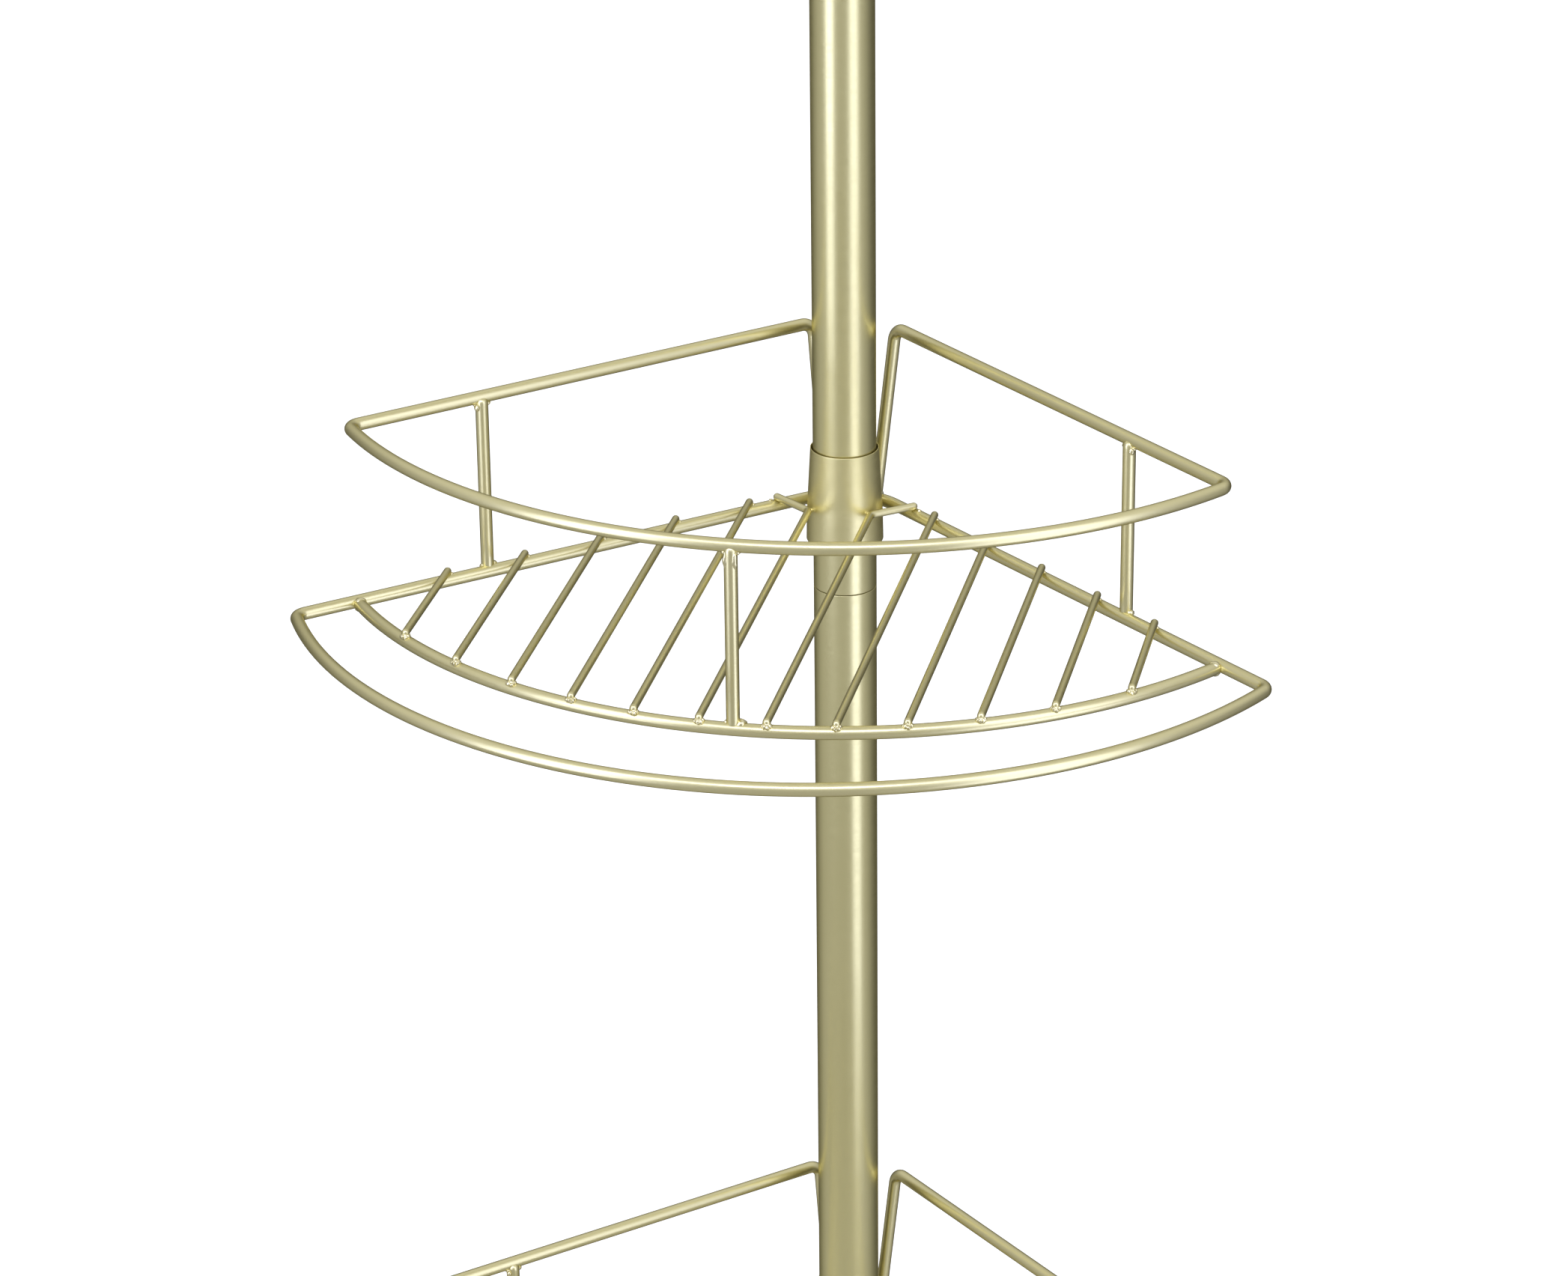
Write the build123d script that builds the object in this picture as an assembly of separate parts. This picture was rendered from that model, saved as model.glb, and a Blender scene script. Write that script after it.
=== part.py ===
from build123d import *
from math import cos, radians, sin, sqrt, tan
import os

# Telescopic corner shower caddy. Millimetres, +Z up.
# Origin: on the pole's axis, at the underside of the rubber foot.
# The corner of the room is behind the pole (+Y); the shelves open to the front (-Y).

# ---- pole -------------------------------------------------------------------------------
POLE_R = 12.5
TUBE_WALL = 1.0
TUBE_BORE_R = POLE_R - TUBE_WALL
TUBE_LENGTH = 580.0
TUBE_EDGE = 0.5                     # rolled-in edge at each tube end, which shows as the seam
TUBE_COUNT = 3

FOOT_PAD_R = 23.0
FOOT_PAD_TOP_R = 18.5
FOOT_PAD_HEIGHT = 10.0
FOOT_SOCKET_R = 12.0
FOOT_SOCKET_DEPTH = 5.0
FOOT_FLANGE_R = 15.5
FOOT_FLANGE = 3.0
FOOT_PLUG_LENGTH = 30.0
POLE_BASE_Z = FOOT_PAD_HEIGHT + FOOT_FLANGE
POLE_TOP_Z = POLE_BASE_Z + TUBE_COUNT * TUBE_LENGTH

JOINER_R = TUBE_BORE_R - 0.05
JOINER_WALL = 1.2
JOINER_LENGTH = 90.0

# ---- spring-loaded telescopic top ---------------------------------------------------------
INNER_TUBE_R = 10.6
INNER_BORE_R = INNER_TUBE_R - TUBE_WALL
BUSHING_DEPTH = 28.0
BUSHING_RIM_R = 13.4
BUSHING_RIM = 4.0
RUNNING_GAP = 0.05
STOP_COLLAR_R = TUBE_BORE_R - 0.1
STOP_COLLAR = 12.0
STOP_NECK = 22.0
STOP_BORE_R = 4.0
STOP_TOP_Z = POLE_TOP_Z - BUSHING_DEPTH
INNER_TUBE_Z = STOP_TOP_Z
INNER_TUBE_LENGTH = 240.0
INNER_TUBE_TOP_Z = INNER_TUBE_Z + INNER_TUBE_LENGTH
SPRING_LENGTH = 170.0
SPRING_R = 8.6
SPRING_WIRE_R = 1.0
SPRING_PITCH = 8.5
SPRING_TOP_Z = STOP_TOP_Z - STOP_COLLAR
SPRING_BASE_Z = SPRING_TOP_Z - SPRING_LENGTH
SEAT_THICKNESS = 14.0
SEAT_NECK_R = 6.8
SEAT_NECK = 10.0
CEILING_FLANGE_R = 14.0
CEILING_FLANGE = 3.0
CEILING_PLUG_LENGTH = 25.0
CEILING_PAD_R = 21.0
CEILING_PAD_BASE_R = 17.0
CEILING_PAD_HEIGHT = 10.0
CEILING_SOCKET_R = 10.0

# ---- shelves ------------------------------------------------------------------------------
SHELF_NAMES = ("bottom", "lower", "upper", "top")
LOWEST_SHELF_Z = 245.0              # floor wires of the lowest shelf
SHELF_SPACING = 379.0
RAIL_WIRE_R = 2.5
GRID_WIRE_R = 1.5
WELD_DEPTH = 0.25                   # how far two welded wires sink into each other
BASKET_HEIGHT = 70.5                # floor wires to top ring, centre to centre
CORNER_BEND = 5.0                   # centre-line radius of every tight bend

COLLAR_TOP_Z = 27.5                 # all heights in a shelf are from its floor wires
COLLAR_KNEE_Z = 0.0
COLLAR_BOTTOM_Z = -11.0
COLLAR_TOP_R = 13.5
COLLAR_KNEE_R = 15.0
COLLAR_BOTTOM_R = 15.2
COLLAR_WALL = 0.8

SLEEVE_TOP_Z = 13.0
SLEEVE_BOTTOM_Z = -9.5
SLEEVE_SPLIT = 0.8
SLEEVE_GAP = 0.06

FLOOR_HALF_ANGLE = 48.0             # each side rail from the middle line, in plan
FLOOR_BACK = 26.7                   # where the side rails would cross, behind the axis
TOWEL_HALF_WIDTH = 183.4            # sharp corner of rail and towel rail
TOWEL_REACH = 255.4                 # pole's axis to the middle of the towel rail
FRONT_HALF_WIDTH = 164.2            # where the inner front wire meets the side rails
FRONT_REACH = 207.8
RING_HALF_ANGLE = 46.5
RING_BACK = 36.5                    # where the ring's side rails would cross, behind the axis
RING_HALF_WIDTH = 165.0
RING_REACH = 206.4
LEG_TOP_HALF_WIDTH = 16.5
LEG_FOOT_ANGLE = 36.0               # leg foot on the collar, from straight back
LEG_FOOT_Z = RAIL_WIRE_R + 1.2
POST_HALF_WIDTH = 123.5

GRID_COUNT = 12
GRID_PITCH = 24.7
GRID_Z = RAIL_WIRE_R + GRID_WIRE_R - WELD_DEPTH
GRID_OVERHANG = 1.8                 # past the centre line of the wire it lies on
GRID_TAIL_HALF_WIDTH = 28.6         # where the bent middle pair ends on the side rails
GRID_BEND = 3.0


def ring_solid(z, height, outer_r, inner_r):
    """A plain tube on the pole's axis."""
    outer = Cylinder(outer_r, height, align=(Align.CENTER, Align.CENTER, Align.MIN))
    bore = Cylinder(inner_r, height, align=(Align.CENTER, Align.CENTER, Align.MIN))
    return Pos(0, 0, z) * (outer - bore)


def turned(points):
    """A solid turned about Z from a closed outline of (radius, height) points."""
    outline = make_face(Polyline(*[(r, 0, z) for r, z in points], close=True))
    return revolve(outline, Axis.Z, 360)


def tube(z, length, outer_r):
    """A pole tube with its ends rolled in a little."""
    inner_r = outer_r - TUBE_WALL
    return turned([
        (inner_r, z), (outer_r - TUBE_EDGE, z), (outer_r, z + TUBE_EDGE),
        (outer_r, z + length - TUBE_EDGE), (outer_r - TUBE_EDGE, z + length), (inner_r, z + length),
    ])


# ---- pole pieces ----------------------------------------------------------------------------

def foot_pad():
    """Rubber foot with a socket for the foot cap."""
    body = turned([
        (0, 0), (FOOT_PAD_R - 1, 0), (FOOT_PAD_R, 1), (FOOT_PAD_R, 3),
        (FOOT_PAD_TOP_R, FOOT_PAD_HEIGHT - 1), (FOOT_PAD_TOP_R - 1, FOOT_PAD_HEIGHT), (0, FOOT_PAD_HEIGHT),
    ])
    socket_z = FOOT_PAD_HEIGHT - FOOT_SOCKET_DEPTH
    return body - Pos(0, 0, socket_z) * Cylinder(
        FOOT_SOCKET_R, FOOT_SOCKET_DEPTH, align=(Align.CENTER, Align.CENTER, Align.MIN))


def foot_cap():
    """Hard plug that closes the lowest tube and carries the rubber foot."""
    socket_z = FOOT_PAD_HEIGHT - FOOT_SOCKET_DEPTH
    plug_z = POLE_BASE_Z + FOOT_PLUG_LENGTH
    return turned([
        (0, socket_z), (FOOT_SOCKET_R, socket_z), (FOOT_SOCKET_R, FOOT_PAD_HEIGHT),
        (FOOT_FLANGE_R, FOOT_PAD_HEIGHT), (FOOT_FLANGE_R, POLE_BASE_Z - 0.6),
        (FOOT_FLANGE_R - 0.6, POLE_BASE_Z), (TUBE_BORE_R, POLE_BASE_Z),
        (TUBE_BORE_R, plug_z - 1.5), (TUBE_BORE_R - 1.5, plug_z), (0, plug_z),
    ])


def joiner(seam_z):
    """Short tube inside the pole that lines up two tubes at their seam."""
    return ring_solid(seam_z - JOINER_LENGTH / 2, JOINER_LENGTH, JOINER_R, JOINER_R - JOINER_WALL)


def guide_bushing():
    """Plastic bushing in the mouth of the upper tube; the top tube slides in it."""
    bore_r = INNER_TUBE_R + RUNNING_GAP
    rim_z = POLE_TOP_Z + BUSHING_RIM
    return turned([
        (bore_r, STOP_TOP_Z), (TUBE_BORE_R, STOP_TOP_Z), (TUBE_BORE_R, POLE_TOP_Z),
        (BUSHING_RIM_R, POLE_TOP_Z), (BUSHING_RIM_R, rim_z - 1.2), (BUSHING_RIM_R - 1.2, rim_z),
        (bore_r, rim_z),
    ])


def spring_seat():
    """Plug fixed in the upper tube, on which the spring stands."""
    base_z = SPRING_BASE_Z - SEAT_THICKNESS
    return turned([
        (0, base_z), (TUBE_BORE_R, base_z), (TUBE_BORE_R, SPRING_BASE_Z),
        (SEAT_NECK_R, SPRING_BASE_Z), (SEAT_NECK_R - 1, SPRING_BASE_Z + SEAT_NECK), (0, SPRING_BASE_Z + SEAT_NECK),
    ])


def tension_spring():
    """Compression spring with flat ground ends."""
    path = Helix(pitch=SPRING_PITCH, height=SPRING_LENGTH, radius=SPRING_R)
    section = Plane(origin=path @ 0, z_dir=path % 0) * Circle(SPRING_WIRE_R)
    coil = Pos(0, 0, SPRING_BASE_Z) * sweep(section, path=path, is_frenet=True)
    keep = Pos(0, 0, SPRING_BASE_Z + SPRING_LENGTH / 2) * Box(30, 30, SPRING_LENGTH - 0.1)
    return coil & keep


def stop_plug():
    """Plug in the lower end of the top tube; its collar meets the bushing at full height."""
    collar_z = STOP_TOP_Z - STOP_COLLAR
    neck_z = STOP_TOP_Z + STOP_NECK
    return turned([
        (STOP_BORE_R, collar_z), (STOP_COLLAR_R - 1, collar_z), (STOP_COLLAR_R, collar_z + 1),
        (STOP_COLLAR_R, STOP_TOP_Z), (INNER_BORE_R, STOP_TOP_Z), (INNER_BORE_R, neck_z - 1),
        (INNER_BORE_R - 1, neck_z), (STOP_BORE_R, neck_z),
    ])


def ceiling_cap():
    """Hard plug that closes the top tube and carries the ceiling pad."""
    flange_z = INNER_TUBE_TOP_Z + CEILING_FLANGE
    plug_z = INNER_TUBE_TOP_Z - CEILING_PLUG_LENGTH
    socket_z = flange_z + FOOT_SOCKET_DEPTH
    return turned([
        (0, plug_z), (INNER_BORE_R - 1.5, plug_z), (INNER_BORE_R, plug_z + 1.5), (INNER_BORE_R, INNER_TUBE_TOP_Z),
        (CEILING_FLANGE_R - 0.6, INNER_TUBE_TOP_Z), (CEILING_FLANGE_R, INNER_TUBE_TOP_Z + 0.6),
        (CEILING_FLANGE_R, flange_z), (CEILING_SOCKET_R, flange_z), (CEILING_SOCKET_R, socket_z), (0, socket_z),
    ])


def ceiling_pad():
    """Rubber pad that presses on the ceiling."""
    base_z = INNER_TUBE_TOP_Z + CEILING_FLANGE
    top_z = base_z + CEILING_PAD_HEIGHT
    body = turned([
        (0, base_z), (CEILING_PAD_BASE_R - 1, base_z), (CEILING_PAD_BASE_R, base_z + 1),
        (CEILING_PAD_R, top_z - 3), (CEILING_PAD_R, top_z - 1), (CEILING_PAD_R - 1, top_z), (0, top_z),
    ])
    return body - Pos(0, 0, base_z) * Cylinder(
        CEILING_SOCKET_R, FOOT_SOCKET_DEPTH, align=(Align.CENTER, Align.CENTER, Align.MIN))


# ---- shelf pieces, made once at floor-wire height 0 -------------------------------------------

def collar_radius(z):
    """Outer radius of the collar at height z."""
    if z < COLLAR_KNEE_Z:
        share = (z - COLLAR_KNEE_Z) / (COLLAR_BOTTOM_Z - COLLAR_KNEE_Z)
        return COLLAR_KNEE_R + share * (COLLAR_BOTTOM_R - COLLAR_KNEE_R)
    share = (z - COLLAR_KNEE_Z) / (COLLAR_TOP_Z - COLLAR_KNEE_Z)
    return COLLAR_KNEE_R + share * (COLLAR_TOP_R - COLLAR_KNEE_R)


def collar():
    """Conical steel socket that the shelf hangs by."""
    heights = (COLLAR_TOP_Z, COLLAR_KNEE_Z, COLLAR_BOTTOM_Z)
    outside = [(collar_radius(z), z) for z in heights]
    inside = [(collar_radius(z) - COLLAR_WALL, z) for z in reversed(heights)]
    shell = turned(outside + inside)
    rims = shell.edges().filter_by(GeomType.CIRCLE).group_by(Axis.Z)
    return fillet(rims[0] + rims[-1], COLLAR_WALL * 0.4)


def sleeve_half(side):
    """One half of the split cone between pole and collar."""
    def cone_r(z):
        return collar_radius(z) - COLLAR_WALL - SLEEVE_GAP

    cone = turned([
        (POLE_R + RUNNING_GAP, SLEEVE_BOTTOM_Z), (cone_r(SLEEVE_BOTTOM_Z), SLEEVE_BOTTOM_Z),
        (cone_r(COLLAR_KNEE_Z), COLLAR_KNEE_Z), (cone_r(SLEEVE_TOP_Z), SLEEVE_TOP_Z),
        (POLE_R + RUNNING_GAP, SLEEVE_TOP_Z),
    ])
    keep = Pos(side * (SLEEVE_SPLIT / 2 + 20), 0, 0) * Box(40, 60, 60)
    return cone & keep


class FrontOutline:
    """Plan of one bent wire: straight side rail, tight corner, wide front arc.

    The rail starts on the middle line at (0, back) and runs out at half_angle. Points are for
    the right-hand side; the left is their mirror image.
    """

    def __init__(self, back, half_angle, half_width, reach):
        angle = radians(half_angle)
        self.back = back
        self.along = (sin(angle), -cos(angle))
        self.inward = (-cos(angle), -sin(angle))
        corner_y = back - half_width / tan(angle)
        sagitta = reach + corner_y
        self.radius = (half_width ** 2 + sagitta ** 2) / (2 * sagitta)
        self.centre_y = self.radius - reach
        # centre of the corner bend: CORNER_BEND inside both the rail and the front arc
        start = (self.inward[0] * CORNER_BEND, back + self.inward[1] * CORNER_BEND)
        dy = start[1] - self.centre_y
        half_b = start[0] * self.along[0] + dy * self.along[1]
        rest = start[0] ** 2 + dy ** 2 - (self.radius - CORNER_BEND) ** 2
        self.rail_length = -half_b + sqrt(half_b ** 2 - rest)
        bend = (start[0] + self.along[0] * self.rail_length, start[1] + self.along[1] * self.rail_length)
        self.rail_end = self.rail_point(self.rail_length)
        reach_out = self.radius / (self.radius - CORNER_BEND)
        self.arc_end = (bend[0] * reach_out, self.centre_y + (bend[1] - self.centre_y) * reach_out)
        out = (half_width - bend[0], corner_y - bend[1])
        size = sqrt(out[0] ** 2 + out[1] ** 2)
        self.bend_middle = (bend[0] + out[0] / size * CORNER_BEND, bend[1] + out[1] / size * CORNER_BEND)
        self.front = (0.0, -reach)

    def rail_point(self, distance):
        """Point on the rail's centre line, this far from the middle line."""
        return (self.along[0] * distance, self.back + self.along[1] * distance)

    def rail_y(self, x):
        """Where the rail is at this distance from the middle line."""
        return self.back + x * self.along[1] / self.along[0]

    def arc_y(self, x):
        """Where the front arc is at this distance from the middle line."""
        return self.centre_y - sqrt(self.radius ** 2 - x ** 2)

    def front_edges(self, z):
        """Corner bend, front arc and corner bend, from right to left."""
        def at(point, side):
            return (side * point[0], point[1], z)

        return [
            ThreePointArc(at(self.rail_end, 1), at(self.bend_middle, 1), at(self.arc_end, 1)),
            ThreePointArc(at(self.arc_end, 1), at(self.front, 1), at(self.arc_end, -1)),
            ThreePointArc(at(self.arc_end, -1), at(self.bend_middle, -1), at(self.rail_end, -1)),
        ]


FLOOR = FrontOutline(FLOOR_BACK, FLOOR_HALF_ANGLE, TOWEL_HALF_WIDTH, TOWEL_REACH)
INNER = FrontOutline(FLOOR_BACK, FLOOR_HALF_ANGLE, FRONT_HALF_WIDTH, FRONT_REACH)
RING = FrontOutline(RING_BACK, RING_HALF_ANGLE, RING_HALF_WIDTH, RING_REACH)


def wire_along(path, radius):
    """A round wire bent along a path."""
    section = Plane(origin=path @ 0, z_dir=path % 0) * Circle(radius)
    return sweep(section, path=path)


def floor_frame():
    """Side rails and towel rail, one wire that curves round the back of the collar."""
    angle = radians(FLOOR_HALF_ANGLE)
    touch_y = COLLAR_KNEE_R + RAIL_WIRE_R - WELD_DEPTH
    wrap_r = (FLOOR_BACK - touch_y) / (1 / sin(angle) - 1)
    wrap_x, wrap_y = wrap_r * cos(angle), touch_y - wrap_r + wrap_r * sin(angle)
    right, left = (wrap_x, wrap_y, 0), (-wrap_x, wrap_y, 0)
    edges = [
        ThreePointArc(left, (0, touch_y, 0), right),
        Line(right, (*FLOOR.rail_end, 0)),
        *FLOOR.front_edges(0),
        Line((-FLOOR.rail_end[0], FLOOR.rail_end[1], 0), left),
    ]
    return wire_along(Wire(edges), RAIL_WIRE_R)


def inner_front_wire():
    """Second front arc, butt-welded between the side rails."""
    end_x = FRONT_HALF_WIDTH - RAIL_WIRE_R * 0.9
    end = (end_x, INNER.arc_y(end_x), 0)
    path = ThreePointArc(end, (0, -FRONT_REACH, 0), (-end[0], end[1], 0))
    return wire_along(Wire([path]), RAIL_WIRE_R)


def grid_wire(x):
    """One straight floor wire; it lies on the side rail and on the inner front wire."""
    back = (x, FLOOR.rail_y(abs(x)) + GRID_OVERHANG, GRID_Z)
    front = (x, INNER.arc_y(x) - GRID_OVERHANG, GRID_Z)
    return wire_along(Wire([Line(front, back)]), GRID_WIRE_R)


def bent_grid_wire(x):
    """Middle floor wire: it touches the collar and turns out to end on the side rail."""
    side = 1 if x > 0 else -1
    touch_r = collar_radius(GRID_Z) + GRID_WIRE_R + 0.3
    knee_y = -sqrt(touch_r ** 2 - x ** 2)
    tail_x = GRID_TAIL_HALF_WIDTH
    path = FilletPolyline(
        (x, INNER.arc_y(x) - GRID_OVERHANG, GRID_Z),
        (x, knee_y, GRID_Z),
        (side * tail_x, FLOOR.rail_y(tail_x) + GRID_OVERHANG / 2, GRID_Z),
        radius=GRID_BEND,
    )
    return wire_along(path, GRID_WIRE_R)


def grid_wires():
    """All floor wires, as separate solids."""
    wires = []
    for index in range(GRID_COUNT):
        x = (index - (GRID_COUNT - 1) / 2) * GRID_PITCH
        wires.append(bent_grid_wire(x) if abs(x) < GRID_PITCH else grid_wire(x))
    return Compound(children=[wire.solid() for wire in wires])


def top_ring():
    """Top wire with its two legs, which lean in to the back of the collar."""
    foot_r = collar_radius(LEG_FOOT_Z) + RAIL_WIRE_R - WELD_DEPTH / 2
    foot = (foot_r * sin(radians(LEG_FOOT_ANGLE)), foot_r * cos(radians(LEG_FOOT_ANGLE)), LEG_FOOT_Z)
    bend = (LEG_TOP_HALF_WIDTH, RING.rail_y(LEG_TOP_HALF_WIDTH), BASKET_HEIGHT)
    leg_and_rail = FilletPolyline(foot, bend, (*RING.rail_end, BASKET_HEIGHT), radius=CORNER_BEND)
    mirrored = leg_and_rail.mirror(Plane.YZ)
    edges = [*leg_and_rail.edges(), *RING.front_edges(BASKET_HEIGHT), *mirrored.edges()]
    return wire_along(Wire(edges), RAIL_WIRE_R)


def posts():
    """Three uprights between floor and top ring."""
    side_y = (FLOOR.rail_y(POST_HALF_WIDTH) + RING.rail_y(POST_HALF_WIDTH)) / 2
    front_y = -(FRONT_REACH + RING_REACH) / 2
    low_z, high_z = RAIL_WIRE_R / 2, BASKET_HEIGHT - RAIL_WIRE_R / 2
    uprights = []
    for x, y in ((-POST_HALF_WIDTH, side_y), (0, front_y), (POST_HALF_WIDTH, side_y)):
        rod = Cylinder(RAIL_WIRE_R, high_z - low_z, align=(Align.CENTER, Align.CENTER, Align.MIN))
        uprights.append((Pos(x, y, low_z) * rod).solid())
    return Compound(children=uprights)


def pole_pieces():
    """Every piece of the pole, by node name."""
    pieces = {
        "foot_pad": foot_pad(),
        "foot_cap": foot_cap(),
        "guide_bushing": guide_bushing(),
        "spring_seat": spring_seat(),
        "tension_spring": tension_spring(),
        "stop_plug": stop_plug(),
        "inner_tube": tube(INNER_TUBE_Z, INNER_TUBE_LENGTH, INNER_TUBE_R),
        "ceiling_cap": ceiling_cap(),
        "ceiling_pad": ceiling_pad(),
    }
    for index, name in enumerate(("lower_tube", "middle_tube", "upper_tube")):
        pieces[name] = tube(POLE_BASE_Z + index * TUBE_LENGTH, TUBE_LENGTH, POLE_R)
    for index, name in enumerate(("lower_joiner", "upper_joiner")):
        pieces[name] = joiner(POLE_BASE_Z + (index + 1) * TUBE_LENGTH)
    return pieces


def shelf_pieces():
    """Every piece of one shelf, by the last part of its node name."""
    return {
        "collar": collar(),
        "floor_frame": floor_frame(),
        "inner_front_wire": inner_front_wire(),
        "grid_wires": grid_wires(),
        "top_ring": top_ring(),
        "posts": posts(),
        "sleeve_left_half": sleeve_half(-1),
        "sleeve_right_half": sleeve_half(1),
    }


def main():
    os.makedirs("parts", exist_ok=True)
    for name, piece in pole_pieces().items():
        export_step(piece, f"parts/{name}.step")
    shelf = shelf_pieces()
    for level, shelf_name in enumerate(SHELF_NAMES):
        lift = Pos(0, 0, LOWEST_SHELF_Z + level * SHELF_SPACING)
        for name, piece in shelf.items():
            export_step(lift * piece, f"parts/{shelf_name}_shelf_{name}.step")


main()
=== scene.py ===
"""Visual model of a telescopic corner shower caddy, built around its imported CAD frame.

Metres, +Z up. The origin is on the pole's axis at the underside of the rubber foot, and the
shelves open to the front (-Y). Every piece is made at its place and rides on its CAD body.
"""

import logging
from collections.abc import Iterable, Sequence
from dataclasses import dataclass, field
from enum import Enum
from math import acos, ceil, cos, pi, radians, sin, sqrt, tan

import bmesh
import bpy
from mathutils import Matrix, Vector, noise


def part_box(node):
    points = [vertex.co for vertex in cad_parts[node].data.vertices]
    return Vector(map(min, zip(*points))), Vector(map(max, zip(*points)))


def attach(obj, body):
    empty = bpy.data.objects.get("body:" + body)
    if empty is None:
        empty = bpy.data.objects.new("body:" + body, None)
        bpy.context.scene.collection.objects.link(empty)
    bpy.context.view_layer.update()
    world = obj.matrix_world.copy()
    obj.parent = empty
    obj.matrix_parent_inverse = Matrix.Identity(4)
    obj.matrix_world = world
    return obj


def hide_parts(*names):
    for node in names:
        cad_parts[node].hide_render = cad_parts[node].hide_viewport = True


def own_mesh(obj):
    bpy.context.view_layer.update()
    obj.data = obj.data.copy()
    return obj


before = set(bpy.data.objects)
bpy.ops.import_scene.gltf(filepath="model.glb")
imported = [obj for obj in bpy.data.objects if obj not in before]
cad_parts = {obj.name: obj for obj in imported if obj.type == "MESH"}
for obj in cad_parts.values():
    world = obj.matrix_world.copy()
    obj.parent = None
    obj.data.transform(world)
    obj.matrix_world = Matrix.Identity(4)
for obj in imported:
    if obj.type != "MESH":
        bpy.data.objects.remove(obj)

log = logging.getLogger("shower_caddy")

MM = 0.001
UP = Vector((0.0, 0.0, 1.0))
CHORD_ERROR = 0.02 * MM             # how far a bend's facets may leave the true arc
MERGE_DISTANCE = 0.01 * MM
SLIDING_GAP = 0.05 * MM             # between a tube and the bore that it slides in
SHARP_ANGLE = radians(25)           # edges sharper than this are rounded
SMOOTH_ANGLE = radians(40)          # edges flatter than this are shaded smooth
FACETS = 96                         # round a turned piece
FINE_FACETS = 128                   # round the tubes and collars
LUMP_RATE = 1.7                     # lumps across half a weld bead
PATTERN_SPAN = (0.3, 0.7)           # the middle of a noise pattern, where most of its values lie
TINT_SPAN = (0.35, 0.65)            # where in a pattern one tint turns into the other
WHITE = (1.0, 1.0, 1.0, 1.0)

Point = tuple[float, float]
Outline = Sequence[Point]
Triple = tuple[float, float, float]
Tint = Triple


# ---- finishes -----------------------------------------------------------------------------------


class Slot(Enum):
    """The material slots."""

    GOLD_TUBE = "gold_tube"
    GOLD_WIRE = "gold_wire"
    BARE_STEEL = "bare_steel"
    NYLON = "nylon"
    DARK_PLASTIC = "dark_plastic"
    RUBBER = "rubber"


class Finish(Enum):
    """The finishes, each with the slot that it belongs to."""

    TUBE = ("tube", Slot.GOLD_TUBE)
    COLLAR = ("collar", Slot.GOLD_WIRE)
    WIRE = ("wire", Slot.GOLD_WIRE)
    BEAD = ("bead", Slot.GOLD_WIRE)
    STEEL = ("steel", Slot.BARE_STEEL)
    NYLON = ("nylon", Slot.NYLON)
    PLASTIC = ("plastic", Slot.DARK_PLASTIC)
    RUBBER = ("rubber", Slot.RUBBER)

    @property
    def slot(self) -> Slot:
        """The material slot that this finish belongs to."""
        return self.value[1]


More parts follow.
